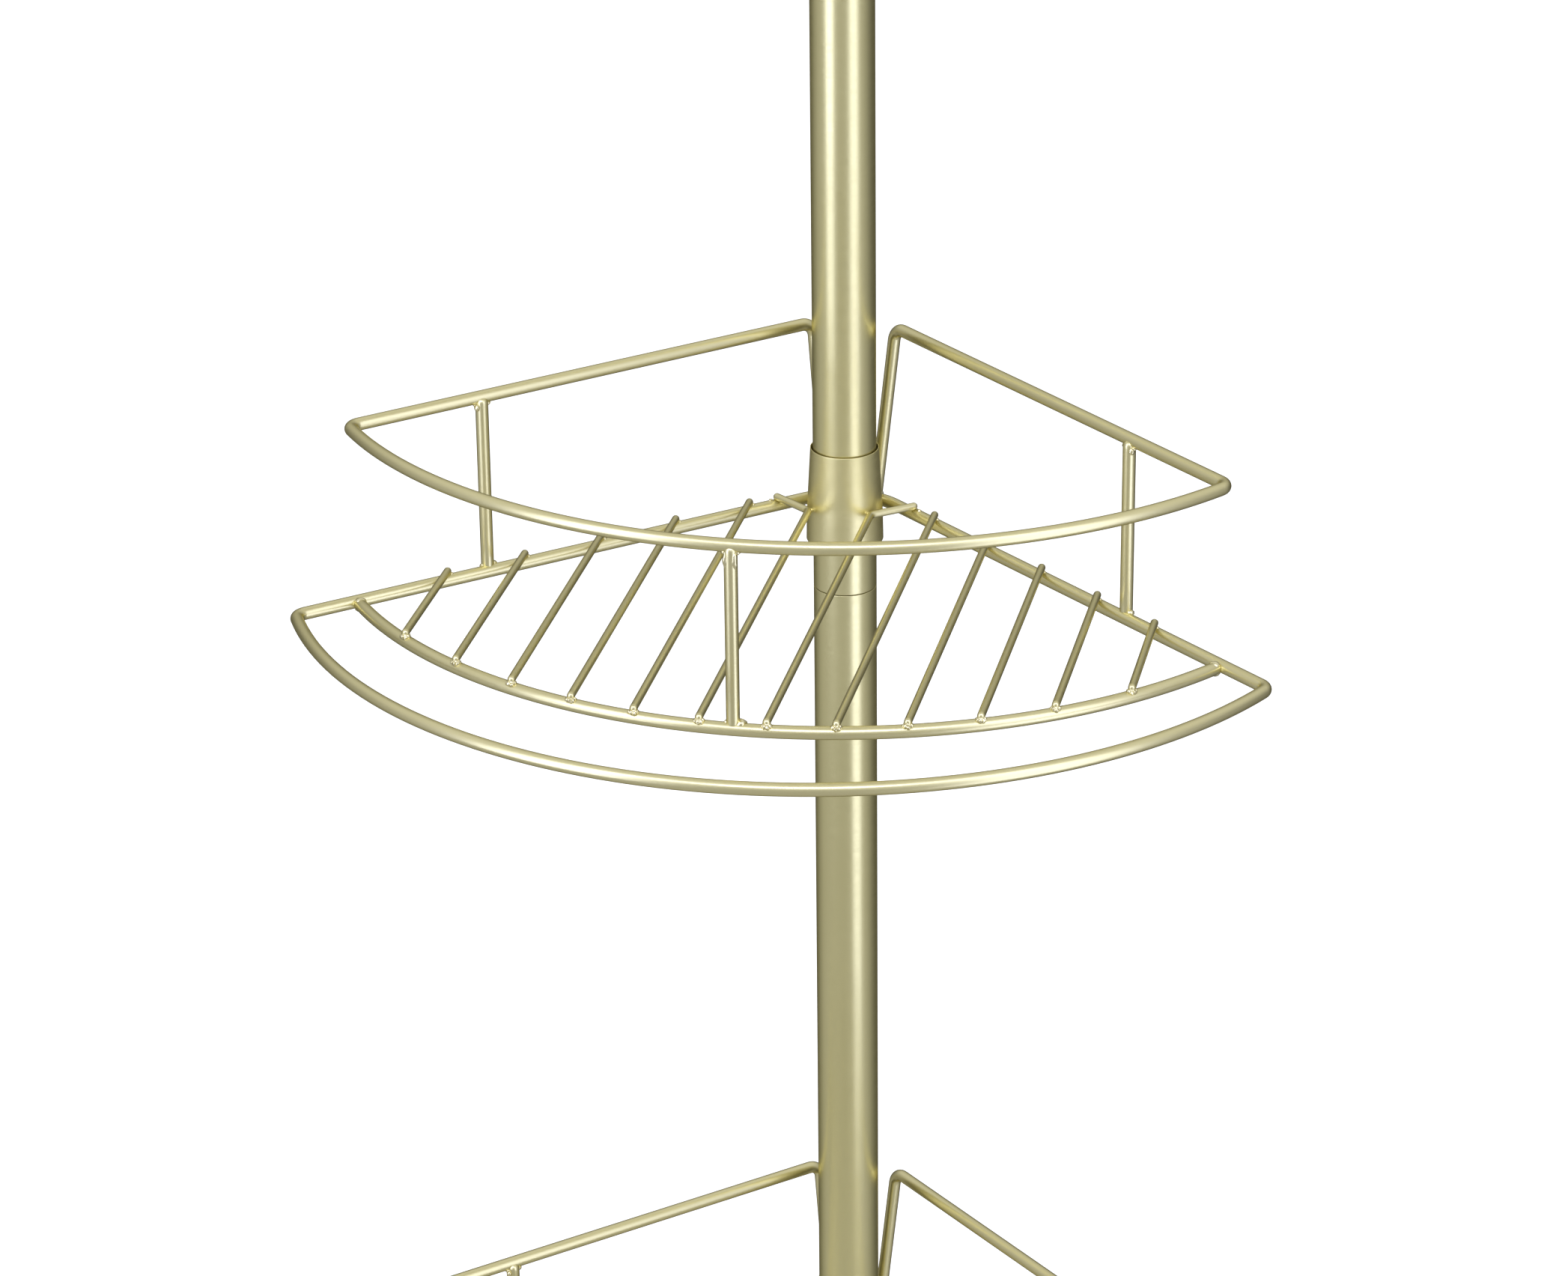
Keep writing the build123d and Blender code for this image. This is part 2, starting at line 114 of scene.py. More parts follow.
class Recipe:
    """The node tree of one material while it is being mixed."""

    def __init__(self, name: str) -> None:
        """Starts a material that holds only a Principled shader.

        Args:
            name: The material's name.
        """
        self.material = bpy.data.materials.new(name)
        self.material.use_nodes = True
        self.tree = self.material.node_tree
        self.shader = self.tree.nodes["Principled BSDF"]

    def fix(self, **values: float | tuple[float, ...]) -> None:
        """Sets sockets of the shader that are the same all over, given as words_like_this."""
        for word, value in values.items():
            self.shader.inputs[word.replace("_", " ").title().replace("Ior", "IOR")].default_value = value

    def coordinates(self, stretch: Triple = (1.0, 1.0, 1.0)) -> bpy.types.NodeSocket:
        """Gives Object coordinates, stretched.

        Args:
            stretch: How much finer the pattern is along X, Y and Z.

        Returns:
            The socket that holds them.
        """
        place = self.tree.nodes.new("ShaderNodeTexCoord")
        mapping = self.tree.nodes.new("ShaderNodeMapping")
        mapping.inputs["Scale"].default_value = stretch
        self.tree.links.new(place.outputs["Object"], mapping.inputs["Vector"])
        return mapping.outputs["Vector"]

    def speckle(self, where: bpy.types.NodeSocket, scale: float, detail: float) -> bpy.types.NodeSocket:
        """Adds a noise pattern.

        Args:
            where: The coordinates it is read at.
            scale: Spots per metre.
            detail: How many finer octaves it has.

        Returns:
            The pattern, from 0 to 1.
        """
        pattern = self.tree.nodes.new("ShaderNodeTexNoise")
        pattern.inputs["Scale"].default_value = scale
        pattern.inputs["Detail"].default_value = detail
        self.tree.links.new(where, pattern.inputs["Vector"])
        return pattern.outputs["Fac"]

    def spread(self, pattern: bpy.types.NodeSocket, low: float, high: float) -> bpy.types.NodeSocket:
        """Stretches the middle of a pattern over a range.

        Args:
            pattern: The pattern, from 0 to 1.
            low: Lower end of the range.
            high: Upper end of the range.

        Returns:
            The stretched pattern.
        """
        ranged = self.tree.nodes.new("ShaderNodeMapRange")
        sockets = ("From Min", "From Max", "To Min", "To Max")
        for socket, value in zip(sockets, (*PATTERN_SPAN, low, high)):
            ranged.inputs[socket].default_value = value
        self.tree.links.new(pattern, ranged.inputs["Value"])
        return ranged.outputs["Result"]

    def colour(self, pattern: bpy.types.NodeSocket, first: Tint, second: Tint) -> None:
        """Colours the surface by a pattern.

        Args:
            pattern: The pattern, from 0 to 1.
            first: Tint where the pattern is low.
            second: Tint where it is high.
        """
        ramp = self.tree.nodes.new("ShaderNodeValToRGB")
        for stop, position, tint in zip(ramp.color_ramp.elements, TINT_SPAN, (first, second)):
            stop.position = position
            stop.color = (*tint, 1.0)
        self.tree.links.new(pattern, ramp.inputs["Fac"])
        self.tree.links.new(ramp.outputs["Color"], self.shader.inputs["Base Color"])

    def roughen(self, pattern: bpy.types.NodeSocket, low: float, high: float) -> None:
        """Varies the roughness from low to high by a pattern."""
        self.tree.links.new(self.spread(pattern, low, high), self.shader.inputs["Roughness"])

    def relief(self, pattern: bpy.types.NodeSocket, depth: float) -> None:
        """Presses a pattern into the surface.

        Args:
            pattern: The height pattern.
            depth: Its depth in metres.
        """
        bump = self.tree.nodes.new("ShaderNodeBump")
        bump.inputs["Strength"].default_value = 1.0
        bump.inputs["Distance"].default_value = depth
        self.tree.links.new(pattern, bump.inputs["Height"])
        self.tree.links.new(bump.outputs["Normal"], self.shader.inputs["Normal"])


@dataclass(frozen=True)
class SatinMetal:
    """Metal with a satin surface: a drawn grain and faint patches of tint and gloss.

    Args:
        name: The material's name.
        tint: Main reflection colour.
        patch_tint: Reflection colour of the faint patches.
        gloss: Lowest and highest roughness.
        grain: Grain marks per metre.
        grain_stretch: How much finer the grain is along X, Y and Z.
        grain_depth: Depth of the grain in metres.
        lacquer: Weight of the clear lacquer.
        lacquer_gloss: Roughness of the clear lacquer.
        patches: Patches per metre.
    """

    name: str
    tint: Tint
    patch_tint: Tint
    gloss: tuple[float, float]
    grain: float
    grain_stretch: Triple
    grain_depth: float
    lacquer: float = 0.0
    lacquer_gloss: float = 0.22
    patches: float = 14.0

    def mix(self) -> bpy.types.Material:
        """Makes the material."""
        recipe = Recipe(self.name)
        recipe.fix(metallic=1.0, coat_weight=self.lacquer, coat_roughness=self.lacquer_gloss)
        recipe.fix(specular_tint=(*self.tint, 1.0))
        even = recipe.coordinates()
        drawn = recipe.coordinates(self.grain_stretch)
        recipe.colour(recipe.speckle(even, self.patches, detail=2.0), self.tint, self.patch_tint)
        grain = recipe.speckle(drawn, self.grain, detail=1.0)
        recipe.roughen(grain, *self.gloss)
        recipe.relief(grain, self.grain_depth)
        return recipe.material


@dataclass(frozen=True)
class MouldedPlastic:
    """Injection-moulded plastic with a fine spark-eroded texture.

    Args:
        name: The material's name.
        colours: The colour and its slightly different patches.
        gloss: Lowest and highest roughness.
        texture: Texture grains per metre.
        texture_depth: Depth of the texture in metres.
        milkiness: Weight of the light that enters the plastic.
        light_depth: How deep that light goes.
        patches: Patches per metre.
    """

    name: str
    colours: tuple[Tint, Tint]
    gloss: tuple[float, float]
    texture: float
    texture_depth: float
    milkiness: float = 0.0
    light_depth: float = 0.002
    patches: float = 60.0

    def mix(self) -> bpy.types.Material:
        """Makes the material."""
        recipe = Recipe(self.name)
        recipe.fix(subsurface_weight=self.milkiness, subsurface_scale=self.light_depth)
        even = recipe.coordinates()
        recipe.colour(recipe.speckle(even, self.patches, detail=4.0), *self.colours)
        erosion = recipe.speckle(even, self.texture, detail=2.0)
        recipe.roughen(erosion, *self.gloss)
        recipe.relief(erosion, self.texture_depth)
        return recipe.material


@dataclass(frozen=True)
class SoftRubber:
    """Matt rubber with a dusty bloom.

    Args:
        name: The material's name.
        colours: The rubber's colour and that of its bloom.
        gloss: Lowest and highest roughness.
        bloom: Spots of bloom per metre.
        wear: Worn spots per metre.
        skin: Grains of its moulded skin per metre.
        skin_depth: Depth of the skin's texture in metres.
    """

    name: str
    colours: tuple[Tint, Tint]
    gloss: tuple[float, float] = (0.62, 0.80)
    bloom: float = 220.0
    wear: float = 90.0
    skin: float = 1500.0
    skin_depth: float = 0.00003

    def mix(self) -> bpy.types.Material:
        """Makes the material."""
        recipe = Recipe(self.name)
        recipe.fix(sheen_weight=0.15, sheen_roughness=0.5)
        even = recipe.coordinates()
        recipe.colour(recipe.speckle(even, self.bloom, detail=5.0), *self.colours)
        recipe.roughen(recipe.speckle(even, self.wear, detail=3.0), *self.gloss)
        recipe.relief(recipe.speckle(even, self.skin, detail=3.0), self.skin_depth)
        return recipe.material


FINISHES = {
    Finish.TUBE: SatinMetal(
        "champagne_gold_tube", tint=(0.78, 0.72, 0.38), patch_tint=(0.80, 0.74, 0.40), gloss=(0.28, 0.36),
        grain=2600.0, grain_stretch=(0.08, 0.08, 1.0), grain_depth=0.000003, lacquer=0.3),
    Finish.COLLAR: SatinMetal(
        "champagne_gold_collar", tint=(0.78, 0.71, 0.36), patch_tint=(0.81, 0.74, 0.39), gloss=(0.34, 0.44),
        grain=2400.0, grain_stretch=(0.06, 0.06, 1.0), grain_depth=0.000005, lacquer=0.3),
    Finish.WIRE: SatinMetal(
        "champagne_gold_wire", tint=(0.76, 0.70, 0.39), patch_tint=(0.78, 0.72, 0.41), gloss=(0.28, 0.35),
        grain=2200.0, grain_stretch=(1.0, 1.0, 1.0), grain_depth=0.0000015, lacquer=0.3),
    Finish.BEAD: SatinMetal(
        "champagne_gold_weld", tint=(0.78, 0.71, 0.42), patch_tint=(0.82, 0.76, 0.48), gloss=(0.20, 0.28),
        grain=1500.0, grain_stretch=(1.0, 1.0, 1.0), grain_depth=0.000008, lacquer=0.6),
    Finish.STEEL: SatinMetal(
        "bare_spring_steel", tint=(0.52, 0.52, 0.53), patch_tint=(0.58, 0.57, 0.56), gloss=(0.24, 0.40),
        grain=900.0, grain_stretch=(1.0, 1.0, 0.3), grain_depth=0.00001),
    Finish.NYLON: MouldedPlastic(
        "milky_nylon", colours=((0.74, 0.74, 0.71), (0.78, 0.78, 0.76)), gloss=(0.34, 0.46),
        texture=1600.0, texture_depth=0.00001, milkiness=0.4),
    Finish.PLASTIC: MouldedPlastic(
        "charcoal_plastic", colours=((0.030, 0.030, 0.032), (0.038, 0.038, 0.040)), gloss=(0.36, 0.50),
        texture=1800.0, texture_depth=0.00002),
    Finish.RUBBER: SoftRubber(
        "graphite_rubber", colours=((0.020, 0.020, 0.021), (0.034, 0.034, 0.035))),
}


# ---- tools of the workshop ----------------------------------------------------------------------


def held(outline: Outline, hold: float) -> Outline:
    """Adds a point close to each end of every long stretch, so that it is shaded straight.

    Args:
        outline: (radius, height) points of a closed outline.
        hold: Distance of the added points from the ends.

    Returns:
        The outline with its added points.
    """
    points = []
    for start, end in zip(outline, [*outline[1:], outline[0]]):
        points.append(start)
        first, last = Vector(start), Vector(end)
        if (last - first).length > 4 * hold:
            step = (last - first).normalized() * hold
            points += [tuple(first + step), tuple(last - step)]
    return points


def turned(outline: Outline, steps: int = FACETS) -> bmesh.types.BMesh:
    """Spins an outline round the pole's axis.

    Args:
        outline: (radius, height) points. One that starts and ends on the axis stays open there.
        steps: Facets round the axis.

    Returns:
        A closed shape.
    """
    mesh = bmesh.new()
    corners = [mesh.verts.new((radius, 0.0, height)) for radius, height in outline]
    following = corners[1:] if outline[0][0] == 0.0 else [*corners[1:], corners[0]]
    edges = [mesh.edges.new(pair) for pair in zip(corners, following)]
    bmesh.ops.spin(
        mesh, geom=[*corners, *edges], cent=(0.0, 0.0, 0.0), axis=UP, dvec=(0.0, 0.0, 0.0),
        angle=2 * pi, steps=steps, use_merge=True, use_duplicate=False)
    bmesh.ops.remove_doubles(mesh, verts=mesh.verts[:], dist=MERGE_DISTANCE)
    bmesh.ops.recalc_face_normals(mesh, faces=mesh.faces[:])
    return mesh


def ease(mesh: bmesh.types.BMesh, width: float, steps: int = 3) -> None:
    """Rounds every sharp edge.

    Args:
        mesh: The shape to change.
        width: Distance from each edge at which the rounding starts.
        steps: Facets across each rounding.
    """
    sharp = [edge for edge in mesh.edges if edge.is_manifold and edge.calc_face_angle() > SHARP_ANGLE]
    bmesh.ops.bevel(
        mesh, geom=sharp, offset=width, segments=steps, profile=0.5, affect="EDGES", material=-1)


def grip_rings(first: float, outer: float, ring: float, face: float, groove: float) -> list[Point]:
    """Draws the rings on the face of a rubber pad, out to the pad's edge.

    Args:
        first: Inner radius of the first ring.
        outer: Radius of the pad.
        ring: Width of a ring, and of a groove.
        face: Height of the rings' faces.
        groove: Height of the bottom of the grooves.

    Returns:
        (radius, height) points, from the axis outwards.
    """
    slant, first_slant, margin = 0.3 * MM, 0.4 * MM, 1.2 * MM
    outline = [(0.0, groove), (first - first_slant, groove)]
    radius = first
    while radius + 2 * ring < outer - margin:
        outline += [(radius, face), (radius + ring, face), (radius + ring + slant, groove),
                    (radius + 2 * ring - slant, groove)]
        radius += 2 * ring
    return [*outline, (radius, face), (outer, face)]


@dataclass
class BentWire:
    """A round wire that is drawn out and bent, one stretch after another.

    Args:
        mesh: The mesh it is made in.
        tip: Middle of the wire's end.
        heading: Direction in which the wire goes on.
        radius: The wire's radius.
        sides: Facets round the wire.
    """

    mesh: bmesh.types.BMesh
    tip: Vector
    heading: Vector
    radius: float
    sides: int = 28
    start: Vector = field(init=False)
    start_heading: Vector = field(init=False)
    start_rim: list[bmesh.types.BMEdge] = field(init=False)
    rim: list[bmesh.types.BMEdge] = field(init=False)

    def __post_init__(self) -> None:
        """Makes the first section."""
        self.heading = self.heading.normalized()
        self.start, self.start_heading = self.tip.copy(), self.heading.copy()
        turn = self.heading.to_track_quat("Z", "Y").to_matrix().to_4x4()
        section = bmesh.ops.create_circle(
            self.mesh, cap_ends=False, radius=self.radius, segments=self.sides,
            matrix=Matrix.Translation(self.tip) @ turn)
        self.start_rim = list(dict.fromkeys(edge for vert in section["verts"] for edge in vert.link_edges))
        self.rim = self.start_rim

    @staticmethod
    def rim_points(rim: Iterable[bmesh.types.BMEdge]) -> list[bmesh.types.BMVert]:
        """Gives the vertices of a section."""
        return list(dict.fromkeys(vert for edge in rim for vert in edge.verts))

    def drawn_on(self, rim: list[bmesh.types.BMEdge], move: Vector) -> list[bmesh.types.BMEdge]:
        """Extrudes a section.

        Args:
            rim: The section's edges.
            move: Where the new section goes, from the old one.

        Returns:
            The new section's edges.
        """
        made = bmesh.ops.extrude_edge_only(self.mesh, edges=rim)["geom"]
        points = {item for item in made if isinstance(item, bmesh.types.BMVert)}
        bmesh.ops.translate(self.mesh, verts=list(points), vec=move)
        return [
            item for item in made
            if isinstance(item, bmesh.types.BMEdge) and item.verts[0] in points and item.verts[1] in points
        ]

    def pull(self, length: float) -> None:
        """Draws the wire straight on, with a section near each end, so that it is shaded straight.

        Args:
            length: How far.
        """
        hold = self.radius / 2
        for stretch in (hold, length - 2 * hold, hold) if length > 4 * hold else (length,):
            self.rim = self.drawn_on(self.rim, self.heading * stretch)
        self.tip = self.tip + self.heading * length

    def pull_to(self, point: Vector) -> None:
        """Draws the wire straight on until it is level with a point ahead."""
        self.pull((point - self.tip).dot(self.heading))

    def bend(self, heading: Vector, radius: float) -> None:
        """Bends the wire until it points along a heading.

        Args:
            heading: The new direction.
            radius: Radius of the bend, at the wire's middle.
        """
        heading = heading.normalized()
        axis = self.heading.cross(heading).normalized()
        angle = self.heading.angle(heading)
        centre = self.tip + axis.cross(self.heading) * radius
        steps = max(3, ceil(angle / (2 * acos(1 - CHORD_ERROR / (radius + self.radius)))))
        made = bmesh.ops.spin(
            self.mesh, geom=[*self.rim_points(self.rim), *self.rim], cent=centre, axis=axis,
            dvec=(0.0, 0.0, 0.0), angle=angle, steps=steps, use_merge=False, use_duplicate=False)
        self.rim = [item for item in made["geom_last"] if isinstance(item, bmesh.types.BMEdge)]
        turn = Matrix.Rotation(angle, 3, axis)
        self.tip = centre + turn @ (self.tip - centre)
        self.heading = heading

    def round_corner(self, corner: Vector, target: Vector, radius: float) -> None:
        """Goes towards a corner and bends there towards the point after it.

        Args:
            corner: The sharp corner.
            target: The next point.
            radius: Radius of the bend.
        """
        heading = (target - corner).normalized()
        cut = radius * tan(self.heading.angle(heading) / 2)
        self.pull_to(corner - self.heading * cut)
        self.bend(heading, radius)

    def dome(self, rim: list[bmesh.types.BMEdge], middle: Vector, outward: Vector, steps: int = 6) -> None:
        """Closes an end of the wire with half a ball.

        Args:
            rim: The end's section.
            middle: Its middle.
            outward: The direction out of the wire.
            steps: Rings of the half ball.
        """
        size, height = 1.0, 0.0
        for step in range(1, steps + 1):
            angle = step / steps * pi / 2
            rise = self.radius * sin(angle) - height
            rim = self.drawn_on(rim, outward * rise)
            height += rise
            centre = middle + outward * height
            points = self.rim_points(rim)
            if step == steps:
                bmesh.ops.pointmerge(self.mesh, verts=points, merge_co=centre)
            else:
                share = cos(angle) / size
                size = cos(angle)
                bmesh.ops.scale(
                    self.mesh, vec=(share,) * 3, space=Matrix.Translation(-centre), verts=points)

    def round_off(self) -> None:
        """Closes both ends with half a ball each."""
        self.dome(self.start_rim, self.start, -self.start_heading)
        self.dome(self.rim, self.tip, self.heading)


def add_bead(mesh: bmesh.types.BMesh, place: Vector, size: Vector, lump: float = 0.16) -> None:
    """Adds one lumpy bead of weld metal.

    Args:
        mesh: The mesh it goes into.
        place: The bead's middle.
        size: Half its extent along X, Y and Z.
        lump: How far its lumps stand out, as a share of its size.
    """
    made = bmesh.ops.create_icosphere(mesh, subdivisions=3, radius=1.0, matrix=Matrix.Identity(4))
    for vert in made["verts"]:
        ripple = 1.0 + lump * noise.noise(vert.co * LUMP_RATE + place / MM)
        vert.co = place + Vector(part * whole * ripple for part, whole in zip(vert.co, size))


class Workshop:
    """Turns finished meshes into pieces that ride on their bodies."""

    def __init__(self) -> None:
        """Mixes every finish once."""
        self.materials = {finish: recipe.mix() for finish, recipe in FINISHES.items()}
        self.triangles = 0

    def deliver(
        self, mesh: bmesh.types.BMesh, name: str, body: str, finish: Finish, stands_for: Iterable[str] = ()
    ) -> bpy.types.Object:
        """Makes a piece from a mesh and reports it.

        Args:
            mesh: The finished mesh, at its place. It is freed.
            name: The piece's name.
            body: The CAD body that it moves with.
            finish: Its finish.
            stands_for: The CAD nodes that it replaces.

        Returns:
            The piece.
        """
        bmesh.ops.remove_doubles(mesh, verts=mesh.verts[:], dist=MERGE_DISTANCE)
        bmesh.ops.recalc_face_normals(mesh, faces=mesh.faces[:])
        for face in mesh.faces:
            face.smooth = True
        for edge in mesh.edges:
            edge.smooth = not edge.is_manifold or edge.calc_face_angle() < SMOOTH_ANGLE
        data = bpy.data.meshes.new(name)
        open_edges = sum(not edge.is_manifold for edge in mesh.edges)
        mesh.to_mesh(data)
        mesh.free()
        data.materials.append(self.materials[finish])
        piece = bpy.data.objects.new(name, data)
        bpy.context.scene.collection.objects.link(piece)
        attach(piece, body)
        if stands_for:
            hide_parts(*stands_for)
        count = sum(len(face.vertices) - 2 for face in data.polygons)
        self.triangles += count
        log.info("%s on %s: %d triangles, %d open edges", name, body, count, open_edges)
        return piece

    def turn_out(
        self, outline: Outline, node: str, kind: str, body: str, finish: Finish, rounding: float,
        steps: int = 3, facets: int = FACETS
    ) -> None:
        """Turns a piece, rounds its edges and delivers it in place of one CAD node.

        Args:
            outline: (radius, height) points of its outline.
            node: The CAD node that it replaces.
            kind: What kind of piece it is, which ends its name.
            body: The CAD body that it moves with.
            finish: Its finish.
            rounding: Distance from each edge at which the rounding starts.
            steps: Facets across each rounding.
            facets: Facets round the axis.
        """
        mesh = turned(outline, facets)
        ease(mesh, rounding, steps)
        self.deliver(mesh, f"{node}_{kind}", body, finish, [node])


# ---- pole ---------------------------------------------------------------------------------------


@dataclass
class Pole:
    """The steel tubes, their joiners, the rubber foot and what is fixed inside the mouth.

    Args:
        workshop: Makes the pieces.
        wall: Thickness of the tube's wall.
        lip: Radius of the rolled edge at each tube end.
        parting: How far each tube end stays back from its seam.
        body: The CAD body that everything here belongs to.
    """

    workshop: Workshop
    wall: float = 1.0 * MM
    lip: float = 0.18 * MM
    parting: float = 0.16 * MM
    body: str = "pole"

    def build(self) -> None:
        """Makes every piece of the pole."""
        for name in ("lower_tube", "middle_tube", "upper_tube"):
            self.make_tube(name)
        for name in ("lower_joiner", "upper_joiner"):
            self.make_joiner(name)
        self.make_foot_pad()
        self.make_foot_cap()
        self.make_bushing()
        self.make_spring_seat()

    def make_tube(self, node: str) -> None:
        """Makes one pole tube with its two rolled edges.

        Args:
            node: The tube's CAD node.
        """
        low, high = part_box(node)
        outer, inner = high.x, high.x - self.wall
        bottom, top = low.z + self.parting, high.z - self.parting
        outline = [(inner, bottom), (outer, bottom), (outer, top), (inner, top)]
        self.workshop.turn_out(
            held(outline, 3 * self.lip), node, "shell", self.body, Finish.TUBE, self.lip, 4, FINE_FACETS)

    def make_joiner(self, node: str) -> None:
        """Makes a joiner: a short tube with a shallow locating groove at the seam.

        Args:
            node: The joiner's CAD node.
        """
        low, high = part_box(node)
        wall, groove, lead = 1.2 * MM, 0.5 * MM, 1.5 * MM
        outer, inner, seam = high.x, high.x - wall, (low.z + high.z) / 2
        outline = [
            (inner, low.z), (outer - groove, low.z), (outer, low.z + lead), (outer, seam - groove),
            (outer - groove, seam), (outer, seam + groove), (outer, high.z - lead),
            (outer - groove, high.z), (inner, high.z),
        ]
        self.workshop.turn_out(outline, node, "sleeve", self.body, Finish.STEEL, 0.15 * MM, 2)

    def make_foot_pad(self) -> None:
        """Makes the rubber foot with ribs round its skirt and rings under it."""
        low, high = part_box("foot_pad")
        outer, top = high.x, high.z
        waist, socket, depth = 18.5 * MM, 12.0 * MM, 5.0 * MM
        tread, neck = 3.0 * MM, 1.0 * MM
        ribs, rib_start, rib_end, rib_flank, rib_depth = 3, 0.35, 0.65, 0.08, 0.5 * MM
        outline = grip_rings(first=3.4 * MM, outer=outer, ring=1.6 * MM, face=low.z, groove=0.8 * MM)
        outline.append((outer, tread))
        for rib in range(ribs):
            start, end = (rib + rib_start) / ribs, (rib + rib_end) / ribs
            for share, cut in (
                    (start - rib_flank, 0.0), (start, rib_depth), (end, rib_depth), (end + rib_flank, 0.0)):
                outline.append((outer + share * (waist - outer) - cut, tread + share * (top - neck - tread)))
        outline += [
            (waist, top - neck), (waist, top), (socket, top), (socket, top - depth), (0.0, top - depth)]
        self.workshop.turn_out(outline, "foot_pad", "rubber", self.body, Finish.RUBBER, 0.22 * MM, 2)

    def make_foot_cap(self) -> None:
        """Makes the plug that closes the lowest tube, with its flange."""
        low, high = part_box("foot_cap")
        tube_low, tube_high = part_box("lower_tube")
        pad_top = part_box("foot_pad")[1].z
        flange, socket, bore = high.x, 12.0 * MM, tube_high.x - self.wall
        base, rim, undercut, lead = tube_low.z, 1.4 * MM, 0.5 * MM, 1.5 * MM
        outline = [
            (0.0, low.z), (socket, low.z), (socket, pad_top), (flange, pad_top), (flange, base - rim),
            (flange - undercut, base - rim), (flange - undercut, base), (bore, base), (bore, high.z - lead),
            (bore - lead, high.z), (0.0, high.z),
        ]
        self.workshop.turn_out(outline, "foot_cap", "plug", self.body, Finish.PLASTIC, 0.3 * MM)

    def make_bushing(self) -> None:
        """Makes the guide bushing with its rounded rim and a shadow groove under it."""
        low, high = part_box("guide_bushing")
        tube_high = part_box("upper_tube")[1]
        bore, outer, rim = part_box("inner_tube")[1].x + SLIDING_GAP, tube_high.x - self.wall, high.x
        groove, slope = 0.4 * MM, 1.2 * MM
        outline = [
            (bore, low.z), (outer, low.z), (outer, tube_high.z), (rim - groove, tube_high.z),
            (rim - groove, tube_high.z + groove), (rim, tube_high.z + 2 * groove), (rim, high.z - slope),
            (rim - slope, high.z), (bore + groove, high.z), (bore, high.z - groove),
        ]
        self.workshop.turn_out(outline, "guide_bushing", "ring", self.body, Finish.PLASTIC, 0.25 * MM)

    def make_spring_seat(self) -> None:
        """Makes the plug on which the spring stands."""
        low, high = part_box("spring_seat")
        outer, neck, neck_height = high.x, 6.8 * MM, 10.0 * MM
        shoulder, band, relief, taper = high.z - neck_height, 4.0 * MM, 0.6 * MM, 1.0 * MM
        outline = [
            (0.0, low.z), (outer, low.z), (outer, low.z + band), (outer - relief, low.z + band + relief),
            (outer - relief, shoulder - band - relief), (outer, shoulder - band), (outer, shoulder),
            (neck, shoulder), (neck - taper, high.z), (0.0, high.z),
        ]
        self.workshop.turn_out(outline, "spring_seat", "plug", self.body, Finish.NYLON, 0.3 * MM)


